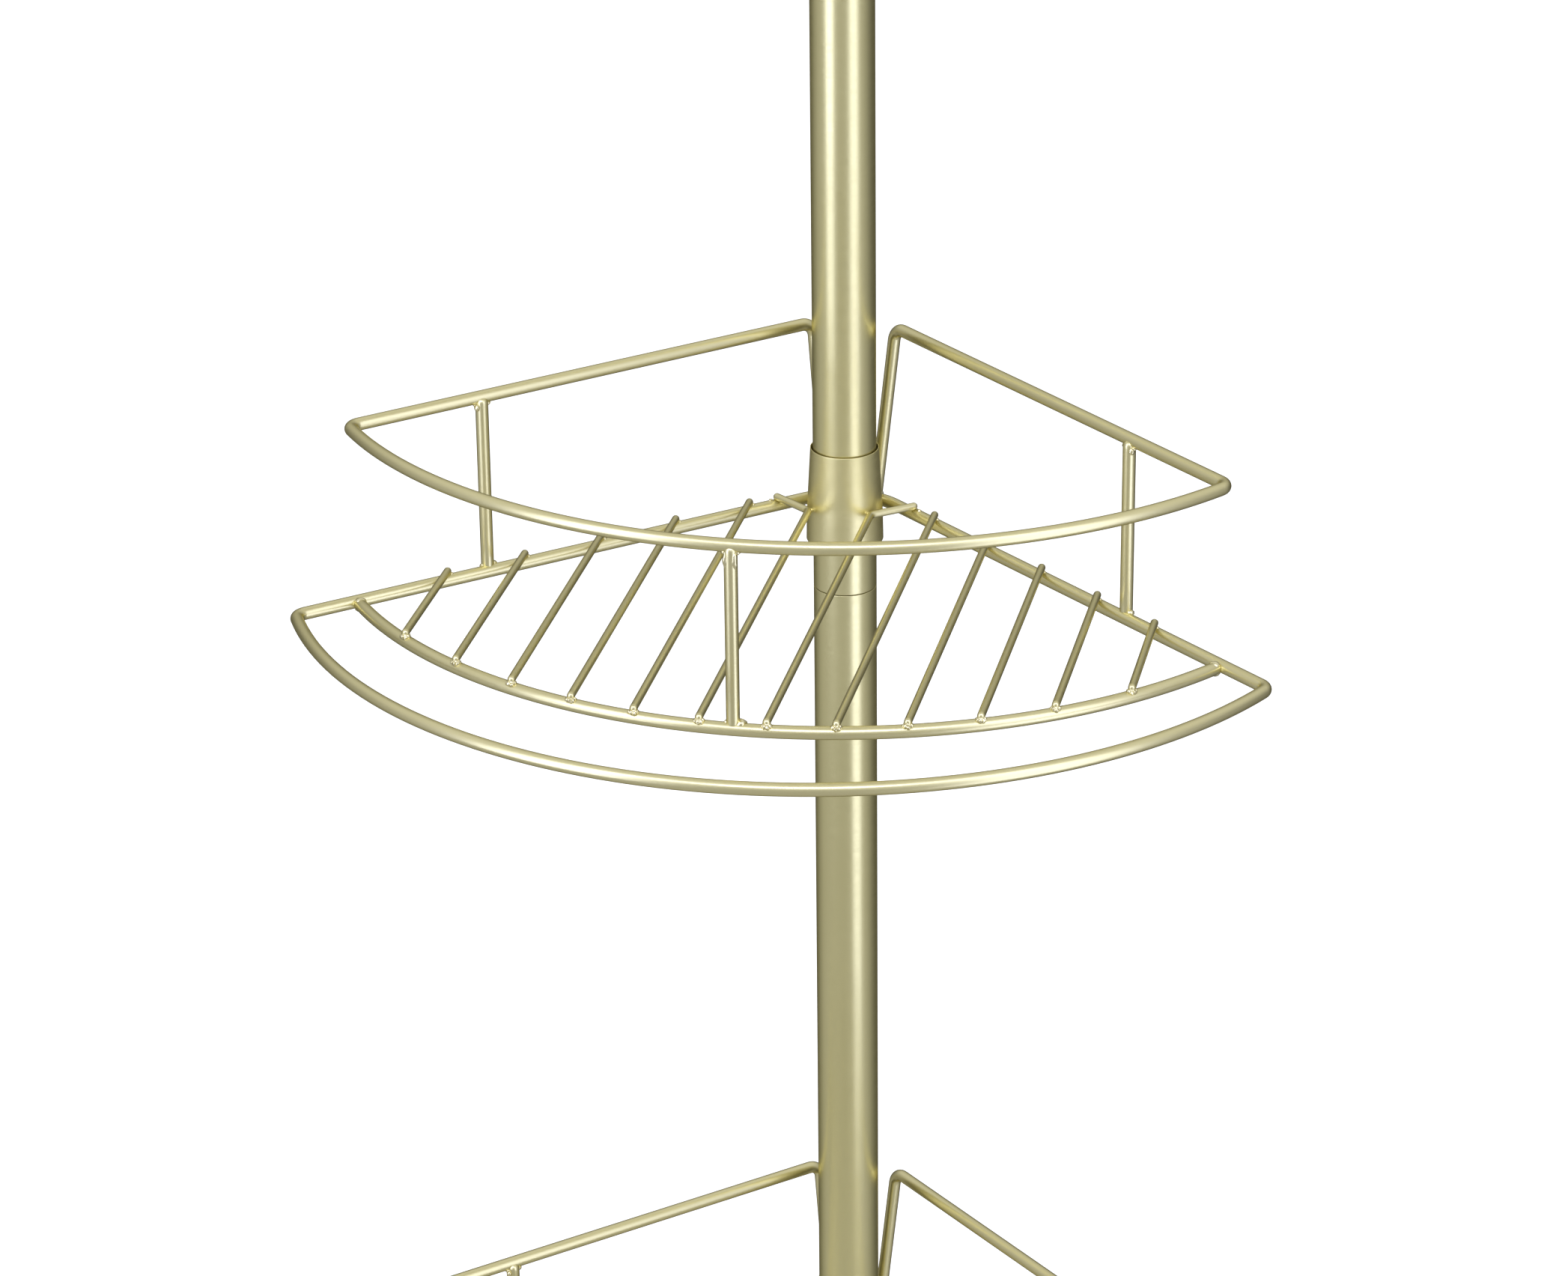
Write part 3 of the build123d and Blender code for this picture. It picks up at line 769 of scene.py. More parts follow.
@dataclass
class TelescopicTop:
    """The sliding top tube with its stop, its spring and the ceiling pad.

    Args:
        workshop: Makes the pieces.
        wall: Thickness of the tube's wall.
        coil_pitch: Rise of one turn of the spring.
        wire_radius: Radius of the spring's wire.
        full_travel: How far the joint can press the top down. Not used.
        body: The CAD body of all but the spring, which stands in the pole.
    """

    workshop: Workshop
    wall: float = 1.0 * MM
    coil_pitch: float = 8.5 * MM
    wire_radius: float = 1.0 * MM
    full_travel: float = 0.1
    body: str = "telescopic_top"

    def build(self) -> None:
        """Makes every piece of the sliding top."""
        self.make_tube()
        self.make_stop_plug()
        self.make_ceiling_cap()
        self.make_ceiling_pad()
        self.make_spring()

    def make_tube(self) -> None:
        """Makes the sliding tube."""
        low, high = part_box("inner_tube")
        inner, outer = high.x - self.wall, high.x
        outline = [(inner, low.z), (outer, low.z), (outer, high.z), (inner, high.z)]
        self.workshop.turn_out(
            held(outline, MM), "inner_tube", "shell", self.body, Finish.TUBE, 0.35 * MM, 4, FINE_FACETS)

    def make_stop_plug(self) -> None:
        """Makes the plug whose collar meets the bushing at full height."""
        low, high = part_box("stop_plug")
        collar, bore, neck = high.x, 4.0 * MM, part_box("inner_tube")[1].x - self.wall
        shoulder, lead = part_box("inner_tube")[0].z, 1.0 * MM
        outline = [
            (bore, low.z), (collar - lead, low.z), (collar, low.z + lead), (collar, shoulder),
            (neck, shoulder), (neck, high.z - lead), (neck - lead, high.z), (bore, high.z),
        ]
        self.workshop.turn_out(outline, "stop_plug", "body", self.body, Finish.NYLON, 0.25 * MM)

    def make_ceiling_cap(self) -> None:
        """Makes the plug that carries the ceiling pad."""
        low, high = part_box("ceiling_cap")
        tube_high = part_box("inner_tube")[1]
        pad_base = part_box("ceiling_pad")[0].z
        bore, flange, socket = tube_high.x - self.wall, high.x, 10.0 * MM
        base, rim, undercut, lead = tube_high.z, 1.2 * MM, 0.5 * MM, 1.5 * MM
        outline = [
            (0.0, low.z), (bore - lead, low.z), (bore, low.z + lead), (bore, base), (flange - undercut, base),
            (flange - undercut, base + rim), (flange, base + rim), (flange, pad_base), (socket, pad_base),
            (socket, high.z), (0.0, high.z),
        ]
        self.workshop.turn_out(outline, "ceiling_cap", "plug", self.body, Finish.PLASTIC, 0.3 * MM)

    def make_ceiling_pad(self) -> None:
        """Makes the rubber pad with grip rings on its face."""
        low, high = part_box("ceiling_pad")
        outer, base, socket, depth = high.x, 17.0 * MM, 10.0 * MM, 5.0 * MM
        skirt, neck, groove = 3.0 * MM, 1.0 * MM, 0.7 * MM
        outline = grip_rings(first=3.0 * MM, outer=outer, ring=1.5 * MM, face=high.z, groove=high.z - groove)
        outline += [
            (outer, high.z - skirt), (base, low.z + neck), (base, low.z), (socket, low.z),
            (socket, low.z + depth), (0.0, low.z + depth)]
        self.workshop.turn_out(outline, "ceiling_pad", "rubber", self.body, Finish.RUBBER, 0.22 * MM, 2)

    def make_spring(self) -> None:
        """Winds the spring, whose first and last turns lie close."""
        low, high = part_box("tension_spring")
        length, coil, steps = high.z - low.z, high.x - self.wire_radius, 40
        closed_rise = 2.02 * self.wire_radius
        open_height = length - 2 * closed_rise - 2 * self.wire_radius
        open_turns = round(open_height / self.coil_pitch)
        mesh = bmesh.new()
        start = Vector((coil, 0.0, low.z + self.wire_radius))
        wire = BentWire(mesh, start, Vector((0.0, 1.0, 0.0)), self.wire_radius, sides=12)
        for turns, rise in ((1, closed_rise), (open_turns, open_height / open_turns), (1, closed_rise)):
            made = bmesh.ops.spin(
                mesh, geom=[*wire.rim_points(wire.rim), *wire.rim], cent=(0.0, 0.0, 0.0), axis=UP,
                dvec=(0.0, 0.0, rise / steps), angle=2 * pi * turns, steps=turns * steps,
                use_merge=False, use_duplicate=False)
            wire.rim = [item for item in made["geom_last"] if isinstance(item, bmesh.types.BMEdge)]
        wire.tip = Vector((coil, 0.0, high.z - self.wire_radius))
        wire.round_off()
        spring = self.workshop.deliver(
            mesh, "tension_spring_coil", "pole", Finish.STEEL, ["tension_spring"])
        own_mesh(spring)


# ---- shelves ------------------------------------------------------------------------------------


@dataclass(frozen=True)
class FrontOutline:
    """Plan of one bent wire: straight side rails, tight corners, wide front arc.

    Args:
        back: Where the side rails would cross, behind the pole's axis.
        half_angle: Each side rail from the middle line, in radians.
        half_width: Sharp corner of rail and front arc, from the middle line.
        reach: The pole's axis to the middle of the front arc.
        corner: Radius of the corner bends.
    """

    back: float
    half_angle: float
    half_width: float
    reach: float
    corner: float = 5.0 * MM

    @property
    def along(self) -> Vector:
        """Direction of the right-hand side rail, from back to front."""
        return Vector((sin(self.half_angle), -cos(self.half_angle), 0.0))

    @property
    def radius(self) -> float:
        """Radius of the front arc."""
        sagitta = self.reach + self.back - self.half_width / tan(self.half_angle)
        return (self.half_width ** 2 + sagitta ** 2) / (2 * sagitta)

    @property
    def centre_y(self) -> float:
        """Centre of the front arc on the middle line."""
        return self.radius - self.reach

    def rail_length(self) -> float:
        """Length of the straight rail, from the middle line to the corner bend."""
        inward = Vector((-cos(self.half_angle), -sin(self.half_angle), 0.0))
        start = Vector((0.0, self.back - self.centre_y, 0.0)) + inward * self.corner
        half_b = start.dot(self.along)
        rest = start.length_squared - (self.radius - self.corner) ** 2
        return -half_b + sqrt(half_b ** 2 - rest)

    def rail_point(self, distance: float, height: float, side: int = 1) -> Vector:
        """Gives a point on a rail.

        Args:
            distance: From the middle line, along the rail.
            height: The point's height.
            side: 1 for the right-hand rail, -1 for the left-hand one.

        Returns:
            The point.
        """
        return Vector((side * self.along.x * distance, self.back + self.along.y * distance, height))

    def rail_y(self, x: float) -> float:
        """Where the rail is at this distance from the middle line."""
        return self.back - x / tan(self.half_angle)

    def arc_y(self, x: float) -> float:
        """Where the front arc is at this distance from the middle line."""
        return self.centre_y - sqrt(self.radius ** 2 - x ** 2)

    def run_front(self, wire: BentWire) -> None:
        """Takes a wire from the end of the right-hand rail round the front to the left-hand rail.

        Args:
            wire: The wire, whose tip is at the end of the rail.
        """
        bend = self.rail_point(self.rail_length(), 0.0) + Vector(
            (-cos(self.half_angle), -sin(self.half_angle), 0.0)) * self.corner
        share = bend.x / (self.radius - self.corner)
        rise = sqrt(1 - share ** 2)
        wire.bend(Vector((-rise, -share, 0.0)), self.corner)
        wire.bend(Vector((-rise, share, 0.0)), self.radius)
        wire.bend(Vector((self.along.x, -self.along.y, 0.0)), self.corner)


@dataclass
class Shelf:
    """One corner shelf: a conical collar with a welded wire basket, and its wedge sleeve.

    Args:
        workshop: Makes the pieces.
        name: The shelf's place on the pole.
        rail_wire: Radius of the thick wires.
        grid_wire: Radius of the floor wires.
        weld_depth: How deep wires sink into each other at a weld.
        basket_height: The floor frame to the top wire.
        collar_outline: (radius, height over the floor frame) points of the collar's outside.
        collar_wall: Thickness of the collar.
        collar_lip: What is left of it at the upper rim.
        sleeve_reach: Height of the sleeve over the floor frame.
        rail_back: Where the floor's side rails would cross, behind the pole's axis.
        rail_angle: Each of them from the middle line.
        front_half_width: Sharp corner of rail and inner front wire, from the middle line.
        front_reach: The pole's axis to the middle of the inner front wire.
        leg_top: The head of each leg, from the middle line.
        leg_foot_angle: The foot of each leg, round the collar from its back.
        leg_foot_height: The foot of each leg, over the floor frame.
        post_x: The side uprights, from the middle line.
        grid_count: How many floor wires there are.
        grid_pitch: The distance between floor wires.
        grid_overhang: How far a floor wire stands out over the wires it rests on.
        grid_tail: Where the middle pair of floor wires meets the side rails.
        grid_bend: Radius of the middle pair's bends.
        sleeve_split: Width of the slit between the sleeve's halves.
        bead_lump: How lumpy the run-down beads are.
    """

    workshop: Workshop
    name: str
    rail_wire: float = 2.5 * MM
    grid_wire: float = 1.5 * MM
    weld_depth: float = 0.25 * MM
    basket_height: float = 70.5 * MM
    collar_outline: tuple[tuple[float, float], ...] = (
        (15.2 * MM, -11.0 * MM), (15.0 * MM, 0.0), (13.5 * MM, 27.5 * MM))
    collar_wall: float = 0.8 * MM
    collar_lip: float = 0.35 * MM
    sleeve_reach: float = 14.0 * MM
    rail_back: float = 26.7 * MM
    rail_angle: float = radians(48.0)
    front_half_width: float = 164.2 * MM
    front_reach: float = 207.8 * MM
    leg_top: float = 16.5 * MM
    leg_foot_angle: float = radians(36.0)
    leg_foot_height: float = 3.7 * MM
    post_x: float = 123.5 * MM
    grid_count: int = 12
    grid_pitch: float = 24.7 * MM
    grid_overhang: float = 1.8 * MM
    grid_tail: float = 28.6 * MM
    grid_bend: float = 3.0 * MM
    sleeve_split: float = 0.8 * MM
    bead_lump: float = 0.2

    def __post_init__(self) -> None:
        """Works out the outlines and the shelf's heights."""
        low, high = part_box(self.node("floor_frame"))
        self.floor_z: float = (low.z + high.z) / 2
        self.ring_z: float = self.floor_z + self.basket_height
        self.grid_z: float = self.floor_z + self.rail_wire + self.grid_wire - self.weld_depth
        self.floor = FrontOutline(self.rail_back, self.rail_angle, half_width=183.4 * MM, reach=255.4 * MM)
        self.inner = FrontOutline(self.rail_back, self.rail_angle, self.front_half_width, self.front_reach)
        self.ring = FrontOutline(
            back=36.5 * MM, half_angle=radians(46.5), half_width=165.0 * MM, reach=206.4 * MM)

    def node(self, piece: str) -> str:
        """Gives the CAD node's name of one of this shelf's pieces."""
        return f"{self.name}_shelf_{piece}"

    def build(self) -> None:
        """Makes every piece of the shelf."""
        self.make_collar()
        self.make_floor_frame()
        self.make_inner_front_wire()
        self.make_grid_wires()
        self.make_top_ring()
        self.make_posts()
        self.make_welds()
        self.make_sleeve()

    def deliver(self, mesh: bmesh.types.BMesh, piece: str, finish: Finish, stands_for: Iterable[str]) -> None:
        """Delivers one of this shelf's pieces, which rides on the shelf."""
        nodes = [self.node(part) for part in stands_for]
        self.workshop.deliver(mesh, f"{self.name}_{piece}", f"{self.name}_shelf", finish, nodes)

    def collar_radius(self, height: float) -> float:
        """Gives the collar's outer radius at a height over the floor frame.

        Args:
            height: The height.

        Returns:
            The radius.
        """
        points = self.collar_outline
        for (low_r, low_z), (high_r, high_z) in zip(points, points[1:]):
            if height <= high_z:
                return low_r + (height - low_z) / (high_z - low_z) * (high_r - low_r)
        return points[-1][0]

    def make_collar(self) -> None:
        """Makes the conical collar with rounded rims and a soft change of slope at the rails."""
        rim_share, knee_width = 0.45, 2.5 * MM
        outside = [(radius, self.floor_z + height) for radius, height in self.collar_outline]
        rim_radius, rim_z = outside[-1]
        seat = self.collar_radius(self.sleeve_reach) - self.collar_wall
        # over the sleeve the wall thins to a lip, which leaves a deep dark groove round the pole
        inside = [(rim_radius - self.collar_lip, rim_z), (seat, self.floor_z + self.sleeve_reach)]
        inside += [(radius - self.collar_wall, height) for radius, height in reversed(outside[:-1])]
        # points close to both rims keep the long faces shaded straight
        for place, height in ((1, self.collar_outline[0][1] + MM), (-1, self.collar_outline[-1][1] - MM)):
            outside.insert(place, (self.collar_radius(height), self.floor_z + height))
        mesh = turned(outside + inside, FINE_FACETS)
        ease(mesh, self.collar_lip * rim_share, steps=4)
        knee = [
            edge for edge in mesh.edges
            if abs(edge.verts[0].co.z - self.floor_z) < MERGE_DISTANCE
            and abs(edge.verts[1].co.z - self.floor_z) < MERGE_DISTANCE
        ]
        bmesh.ops.bevel(
            mesh, geom=knee, offset=knee_width, segments=4, profile=0.5, affect="EDGES", material=-1)
        self.deliver(mesh, "collar_cone", Finish.COLLAR, ["collar"])

    def make_floor_frame(self) -> None:
        """Bends side rails and towel rail from one wire that passes behind the collar."""
        touch_y = self.collar_outline[1][0] + self.rail_wire - self.weld_depth
        angle = self.floor.half_angle
        wrap = (self.floor.back - touch_y) / (1 / sin(angle) - 1)
        start = Vector((wrap * cos(angle), touch_y - wrap + wrap * sin(angle), self.floor_z))
        mesh = bmesh.new()
        wire = BentWire(mesh, start, self.floor.along, self.rail_wire)
        wire.pull_to(self.floor.rail_point(self.floor.rail_length(), self.floor_z))
        self.floor.run_front(wire)
        wire.pull_to(Vector((-start.x, start.y, start.z)))
        wire.bend(self.floor.along, wrap)
        self.deliver(mesh, "floor_frame_wire", Finish.WIRE, ["floor_frame"])

    def front_end(self, side: int = 1) -> Vector:
        """Where the inner front wire ends, sunk into a side rail."""
        x = self.front_half_width - self.rail_wire * 0.9
        return Vector((side * x, self.inner.arc_y(x), self.floor_z))

    def make_inner_front_wire(self) -> None:
        """Bends the second front arc, which ends in the side rails."""
        start = self.front_end()
        share = start.x / self.inner.radius
        rise = sqrt(1 - share ** 2)
        mesh = bmesh.new()
        wire = BentWire(mesh, start, Vector((-rise, -share, 0.0)), self.rail_wire)
        wire.bend(Vector((-rise, share, 0.0)), self.inner.radius)
        wire.round_off()
        self.deliver(mesh, "front_wire", Finish.WIRE, ["inner_front_wire"])

    def grid_places(self) -> list[float]:
        """Gives the distance of each floor wire from the middle line."""
        return [(index - (self.grid_count - 1) / 2) * self.grid_pitch for index in range(self.grid_count)]

    def knee_y(self, x: float) -> float:
        """Where a middle floor wire meets the collar."""
        clearance = 0.3 * MM
        touch = self.collar_radius(self.grid_z - self.floor_z) + self.grid_wire + clearance
        return -sqrt(touch ** 2 - x ** 2)

    def make_grid_wires(self) -> None:
        """Lays the floor wires; the middle pair bends out round the collar."""
        mesh = bmesh.new()
        # the rounded ends add one radius each, so the wire itself stops that much earlier
        overhang = self.grid_overhang - self.grid_wire
        for x in self.grid_places():
            front = Vector((x, self.inner.arc_y(x) - overhang, self.grid_z))
            wire = BentWire(mesh, front, Vector((0.0, 1.0, 0.0)), self.grid_wire, sides=20)
            if abs(x) < self.grid_pitch:
                tail_x = self.grid_tail if x > 0 else -self.grid_tail
                tail_y = self.floor.rail_y(self.grid_tail) + self.grid_overhang / 2
                tail = Vector((tail_x, tail_y, self.grid_z))
                wire.round_corner(Vector((x, self.knee_y(x), self.grid_z)), tail, self.grid_bend)
                wire.pull_to(tail - wire.heading * self.grid_wire)
            else:
                wire.pull_to(Vector((x, self.floor.rail_y(abs(x)) + overhang, self.grid_z)))
            wire.round_off()
        self.deliver(mesh, "grid", Finish.WIRE, ["grid_wires"])

    def leg_foot(self, side: int) -> Vector:
        """Where a leg of the top ring stands on the collar.

        Args:
            side: 1 for the right-hand leg, -1 for the left-hand one.

        Returns:
            The end of the leg's middle line.
        """
        reach = self.collar_radius(self.leg_foot_height) + self.rail_wire - self.weld_depth / 2
        return Vector((
            side * reach * sin(self.leg_foot_angle), reach * cos(self.leg_foot_angle),
            self.floor_z + self.leg_foot_height))

    def make_top_ring(self) -> None:
        """Bends the top wire with its two legs, which lean in to the back of the collar."""
        corner_y = self.ring.rail_y(self.leg_top)
        corners = [Vector((side * self.leg_top, corner_y, self.ring_z)) for side in (1, -1)]
        feet = [self.leg_foot(side) for side in (1, -1)]
        mesh = bmesh.new()
        wire = BentWire(mesh, feet[0], corners[0] - feet[0], self.rail_wire)
        rail_end = self.ring.rail_point(self.ring.rail_length(), self.ring_z)
        wire.round_corner(corners[0], rail_end, self.ring.corner)
        wire.pull_to(rail_end)
        self.ring.run_front(wire)
        wire.round_corner(corners[1], feet[1], self.ring.corner)
        wire.pull_to(feet[1])
        wire.round_off()
        self.deliver(mesh, "top_wire", Finish.WIRE, ["top_ring"])

    def post_feet(self) -> list[Vector]:
        """Gives the middle line of each upright, at floor height."""
        side_y = (self.floor.rail_y(self.post_x) + self.ring.rail_y(self.post_x)) / 2
        front_y = -(self.front_reach + self.ring.reach) / 2
        places = ((-self.post_x, side_y), (0.0, front_y), (self.post_x, side_y))
        return [Vector((x, y, self.floor_z)) for x, y in places]

    def make_posts(self) -> None:
        """Makes the three uprights between floor and top ring."""
        mesh = bmesh.new()
        sunk = self.rail_wire * 0.8
        for foot in self.post_feet():
            wire = BentWire(mesh, foot + UP * sunk, UP.copy(), self.rail_wire)
            wire.pull(self.basket_height - 2 * sunk)
            wire.round_off()
        self.deliver(mesh, "uprights", Finish.WIRE, ["posts"])

    def make_welds(self) -> None:
        """Adds the weld beads at every joint of the basket."""
        mesh = bmesh.new()
        self.weld_grid(mesh)
        self.weld_posts(mesh)
        self.weld_front_wire(mesh)
        self.weld_collar(mesh)
        self.deliver(mesh, "weld_beads", Finish.BEAD, [])

    def weld_grid(self, mesh: bmesh.types.BMesh) -> None:
        """Adds a puckered nugget at the front of each floor wire and squeezed-out metal at its back.

        Args:
            mesh: The mesh of the beads.
        """
        joint = self.floor_z + self.rail_wire
        rim_beads, rim_reach, rim_bead = 7, Vector((1.3, 1.2, 0.15)), Vector((0.85, 0.85, 0.95)) * MM
        forward, heart_lift, heart_bead = 0.9, 0.3, Vector((1.45, 1.35, 1.1)) * MM
        back_reach, back_drop, back_bead = Vector((1.25, 1.1)) * MM, 0.1 * MM, Vector((0.8, 0.8, 0.7)) * MM
        for x in self.grid_places():
            front = Vector((x, self.inner.arc_y(x), joint))
            for step in range(rim_beads):
                turn = 2 * pi * step / rim_beads + x / MM
                rim = Vector((
                    rim_reach.x * cos(turn), rim_reach.y * sin(turn) - forward, rim_reach.z * cos(3 * turn)))
                add_bead(mesh, front + rim * MM, rim_bead, lump=0.3)
            add_bead(mesh, front + Vector((0.0, -forward, heart_lift)) * MM, heart_bead)
            tail_x = x if abs(x) > self.grid_pitch else (self.grid_tail if x > 0 else -self.grid_tail)
            rail_y = self.floor.rail_y(abs(tail_x))
            fall = -1 if tail_x > 0 else 1
            for side in (1, -1):
                spot = Vector((
                    tail_x + side * back_reach.x, rail_y + side * fall * back_reach.y, joint - back_drop))
                add_bead(mesh, spot, back_bead, lump=0.25)

    def weld_posts(self, mesh: bmesh.types.BMesh) -> None:
        """Adds the run-down beads at the head and the fillet at the foot of each upright.

        Args:
            mesh: The mesh of the beads.
        """
        outward = Vector((0.0, -1.0, 0.0))
        wing_bead, foot_bead = Vector((1.3, 1.2, 0.9)), Vector((1.2, 1.1, 0.9))
        beside, ahead, below, wing_out = 1.6, 1.4, 1.8, 2.3
        for foot in self.post_feet():
            front_post = abs(foot.x) < MM
            along = Vector((1.0, 0.0, 0.0)) if front_post else Vector(
                (self.floor.along.x, self.floor.along.y * (1 if foot.x > 0 else -1), 0.0))
            head = foot + UP * self.basket_height
            run = 3.2 if front_post else 1.4
            for side in (1, -1):
                spot = head + (along * side * beside + outward * ahead - UP * (below + run)) * MM
                add_bead(mesh, spot, Vector((1.1, 1.1, run)) * MM, self.bead_lump)
                wing = head + (along * side * wing_out - UP * wing_out) * MM
                add_bead(mesh, wing, wing_bead * MM, self.bead_lump)
            for side, size in ((1, 1.9 if front_post else 1.3), (-1, 1.0)):
                spot = foot + along * side * (beside + 0.6 * size) * MM + UP * self.rail_wire * 0.9
                add_bead(mesh, spot, foot_bead * size * MM, self.bead_lump)

    def weld_front_wire(self, mesh: bmesh.types.BMesh) -> None:
        """Adds twin beads where the inner front wire meets the side rails.

        Args:
            mesh: The mesh of the beads.
        """
        lift, twin_bead = UP * self.rail_wire * 0.62, Vector((2.2, 1.9, 1.3)) * MM
        for side in (1, -1):
            for spot in (self.front_end(side) + lift, self.front_end(side) - lift):
                add_bead(mesh, spot, twin_bead)

    def weld_collar(self, mesh: bmesh.types.BMesh) -> None:
        """Adds beads where legs, floor frame and middle floor wires meet the collar.

        Args:
            mesh: The mesh of the beads.
        """
        leg_bead, wrap_bead, knee_bead = (
            Vector(size) * MM for size in ((2.4, 2.2, 2.4), (2.0, 1.1, 1.2), (1.1, 1.3, 1.0)))
        wrap_x, wrap_y, wrap_lift = 3.2 * MM, self.collar_outline[1][0] + 0.4 * MM, 1.9 * MM
        knee_x, knee_inward, knee_behind = self.grid_pitch / 2, 0.7 * MM, 0.9 * MM
        for side in (1, -1):
            add_bead(mesh, self.leg_foot(side) + Vector((side * 0.6, -1.4, -0.5)) * MM, leg_bead)
            add_bead(mesh, Vector((side * wrap_x, wrap_y, self.floor_z + wrap_lift)), wrap_bead)
            knee_y = self.knee_y(knee_x) + knee_behind
            add_bead(mesh, Vector((side * (knee_x - knee_inward), knee_y, self.grid_z)), knee_bead)

    def make_sleeve(self) -> None:
        """Makes the two halves of the split cone that wedges between pole and collar."""
        bore, gap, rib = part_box("middle_tube")[1].x + SLIDING_GAP, 0.06 * MM, 0.25 * MM
        for side, half in ((-1, "left"), (1, "right")):
            node = self.node(f"sleeve_{half}_half")
            low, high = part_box(node)
            levels = (low.z, self.floor_z, high.z)
            cone = [(self.collar_radius(z - self.floor_z) - self.collar_wall - gap, z) for z in levels]
            middle = (low.z + high.z) / 2
            mesh = turned([
                *cone, (bore, high.z), (bore, middle + 2 * rib), (bore + rib, middle + rib),
                (bore + rib, middle - rib), (bore, middle - 2 * rib), (bore, low.z),
            ])
            cut = bmesh.ops.bisect_plane(
                mesh, geom=[*mesh.verts, *mesh.edges, *mesh.faces], dist=MERGE_DISTANCE, clear_outer=True,
                plane_co=(side * self.sleeve_split / 2, 0.0, 0.0), plane_no=(-side, 0.0, 0.0))
            edges = [item for item in cut["geom_cut"] if isinstance(item, bmesh.types.BMEdge)]
            bmesh.ops.edgeloop_fill(mesh, edges=edges)
            self.workshop.deliver(
                mesh, f"{self.name}_sleeve_{half}", f"{self.name}_sleeve", Finish.NYLON, [node])


# ---- studio -------------------------------------------------------------------------------------


@dataclass(frozen=True)
class Softbox:
    """A large soft light beside the caddy.

    Args:
        name: The light's name.
        azimuth: Its direction from the pole, from the front (-Y) towards the right (+X), in degrees.
        distance: Its distance from the pole's axis.
        height: Height of its middle.
        size: Width and height of its face.
        power: Its power in watts.
        aim: Height on the pole that it faces.
        tint: Its colour.
    """

    name: str
    azimuth: float
    distance: float
    height: float
    size: tuple[float, float]
    power: float
    aim: float
    tint: Tint = (0.90, 0.955, 1.33)

    def hang(self) -> None:
        """Puts the light into the scene."""
        data = bpy.data.lights.new(self.name, "AREA")
        data.shape = "RECTANGLE"
        data.size, data.size_y = self.size
        data.energy = self.power
        data.color = self.tint
        light = bpy.data.objects.new(self.name, data)
        turn = radians(self.azimuth)
        light.location = (self.distance * sin(turn), -self.distance * cos(turn), self.height)
        view = Vector((0.0, 0.0, self.aim)) - light.location
        light.rotation_euler = view.to_track_quat("-Z", "Y").to_euler()
        light.visible_camera = False
        bpy.context.scene.collection.objects.link(light)


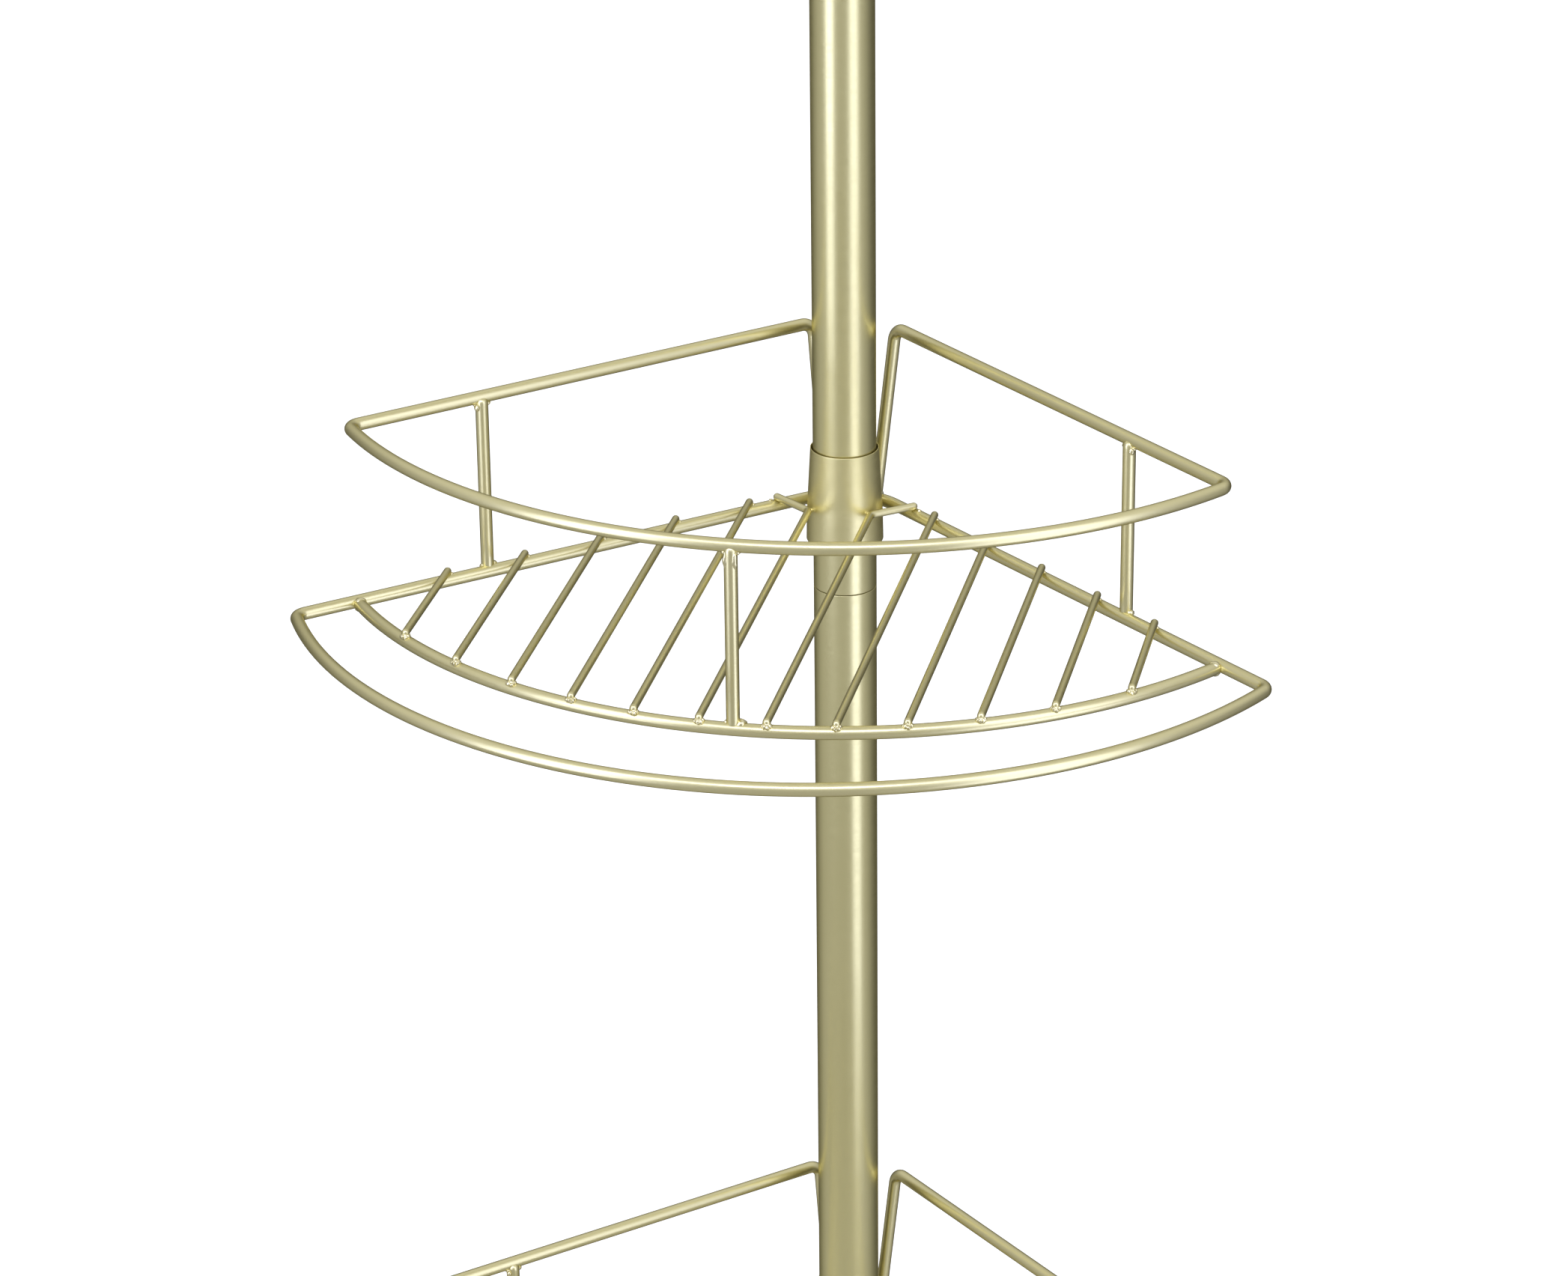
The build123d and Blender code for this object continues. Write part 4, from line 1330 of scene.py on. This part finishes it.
@dataclass
class Studio:
    """The floor, the light and the camera.

    Args:
        floor_radius: Radius of the pale floor.
        camera_place: Where the camera stands.
        camera_azimuth: How far the camera looks to the left of straight back, in degrees.
        camera_pitch: How far it looks down, in degrees.
        camera_roll: Its roll, in degrees.
        lens: Focal length in millimetres on a 36 mm wide sensor.
        surround: Brightness of the surround at eye height and overhead.
        behind: Share of the lower one that is left behind the caddy.
        rise: Heights of the view, as a share, between which the surround grows brighter.
        fade: The same from the front to the back.
        floor_glow: Strength of the floor's own light.
        softboxes: The lights.
    """

    floor_radius: float = 30.0
    camera_place: tuple[float, float, float] = (0.3522, -1.7788, 1.369)
    camera_azimuth: float = 11.974
    camera_pitch: float = 23.79
    camera_roll: float = -0.61
    lens: float = 114.18
    surround: tuple[float, float] = (0.47, 0.78)
    behind: float = 0.25
    rise: tuple[float, float] = (-0.1, 0.9)
    fade: tuple[float, float] = (-0.2, 0.8)
    floor_glow: float = 0.6
    softboxes: tuple[Softbox, ...] = (
        Softbox("right_box", azimuth=50.0, distance=0.75, height=0.85, size=(0.40, 1.7), power=2.9, aim=0.85),
        Softbox("left_box", azimuth=-35.0, distance=0.8, height=1.06, size=(0.38, 1.28), power=3.0, aim=1.06),
        Softbox("top_box", azimuth=8.0, distance=2.0, height=3.0, size=(1.6, 0.8), power=16.0, aim=0.9),
    )

    def build(self) -> None:
        """Sets up floor, world, lights and camera."""
        self.lay_floor()
        self.light_world()
        for softbox in self.softboxes:
            softbox.hang()
        self.place_camera()

    def lay_floor(self) -> None:
        """Lays a plain pale floor, which the metal doesn't mirror."""
        mesh = bmesh.new()
        bmesh.ops.create_circle(mesh, cap_ends=True, radius=self.floor_radius, segments=64)
        data = bpy.data.meshes.new("floor")
        mesh.to_mesh(data)
        mesh.free()
        recipe = Recipe("pale_floor")
        recipe.fix(base_color=(0.9, 0.9, 0.9, 1.0), roughness=0.9, specular_ior_level=0.1)
        recipe.fix(emission_color=WHITE, emission_strength=self.floor_glow)
        data.materials.append(recipe.material)
        floor = bpy.data.objects.new("floor", data)
        floor.visible_glossy = False
        bpy.context.scene.collection.objects.link(floor)

    def light_world(self) -> None:
        """Makes a soft surround: dim below and behind, brighter overhead, and a plain pale backdrop."""
        world = bpy.data.worlds.new("soft_surround")
        world.use_nodes = True
        bpy.context.scene.world = world
        nodes, links = world.node_tree.nodes, world.node_tree.links
        place = nodes.new("ShaderNodeTexCoord")
        split = nodes.new("ShaderNodeSeparateXYZ")
        height, depth = nodes.new("ShaderNodeMapRange"), nodes.new("ShaderNodeMapRange")
        for reach, (start, end) in ((height, self.rise), (depth, self.fade)):
            reach.interpolation_type = "SMOOTHSTEP"
            reach.inputs["From Min"].default_value = start
            reach.inputs["From Max"].default_value = end
        low, high = self.surround
        height.inputs["To Max"].default_value = high
        depth.inputs["To Min"].default_value, depth.inputs["To Max"].default_value = low, low * self.behind
        backdrop = nodes.new("ShaderNodeBackground")
        path = nodes.new("ShaderNodeLightPath")
        mix = nodes.new("ShaderNodeMixShader")
        links.new(place.outputs["Generated"], split.inputs["Vector"])
        links.new(split.outputs["Z"], height.inputs["Value"])
        links.new(split.outputs["Y"], depth.inputs["Value"])
        links.new(depth.outputs["Result"], height.inputs["To Min"])
        links.new(height.outputs["Result"], nodes["Background"].inputs["Strength"])
        links.new(path.outputs["Is Camera Ray"], mix.inputs["Fac"])
        links.new(nodes["Background"].outputs["Background"], mix.inputs[1])
        links.new(backdrop.outputs["Background"], mix.inputs[2])
        links.new(mix.outputs["Shader"], nodes["World Output"].inputs["Surface"])
        for shade in (nodes["Background"], backdrop):
            shade.inputs["Color"].default_value = WHITE

    def place_camera(self) -> None:
        """Places the camera."""
        data = bpy.data.cameras.new("camera")
        data.sensor_width = 36.0
        data.lens = self.lens
        data.clip_start, data.clip_end = 0.05, 100.0
        camera = bpy.data.objects.new("camera", data)
        turn = (
            Matrix.Rotation(radians(self.camera_azimuth), 4, "Z")
            @ Matrix.Rotation(radians(90.0 - self.camera_pitch), 4, "X")
            @ Matrix.Rotation(radians(self.camera_roll), 4, "Z")
        )
        camera.matrix_world = Matrix.Translation(self.camera_place) @ turn
        bpy.context.scene.collection.objects.link(camera)
        bpy.context.scene.camera = camera


def main() -> None:
    """Builds the caddy and its studio."""
    logging.basicConfig(level=logging.INFO, format="%(message)s")
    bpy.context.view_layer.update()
    Studio().build()
    bpy.context.scene.view_settings.view_transform = "Standard"
    workshop = Workshop()
    Pole(workshop).build()
    TelescopicTop(workshop).build()
    for name in ("bottom", "lower", "upper", "top"):
        Shelf(workshop, name).build()
    log.info("%d triangles in all", workshop.triangles)


if __name__ == "__main__":
    main()
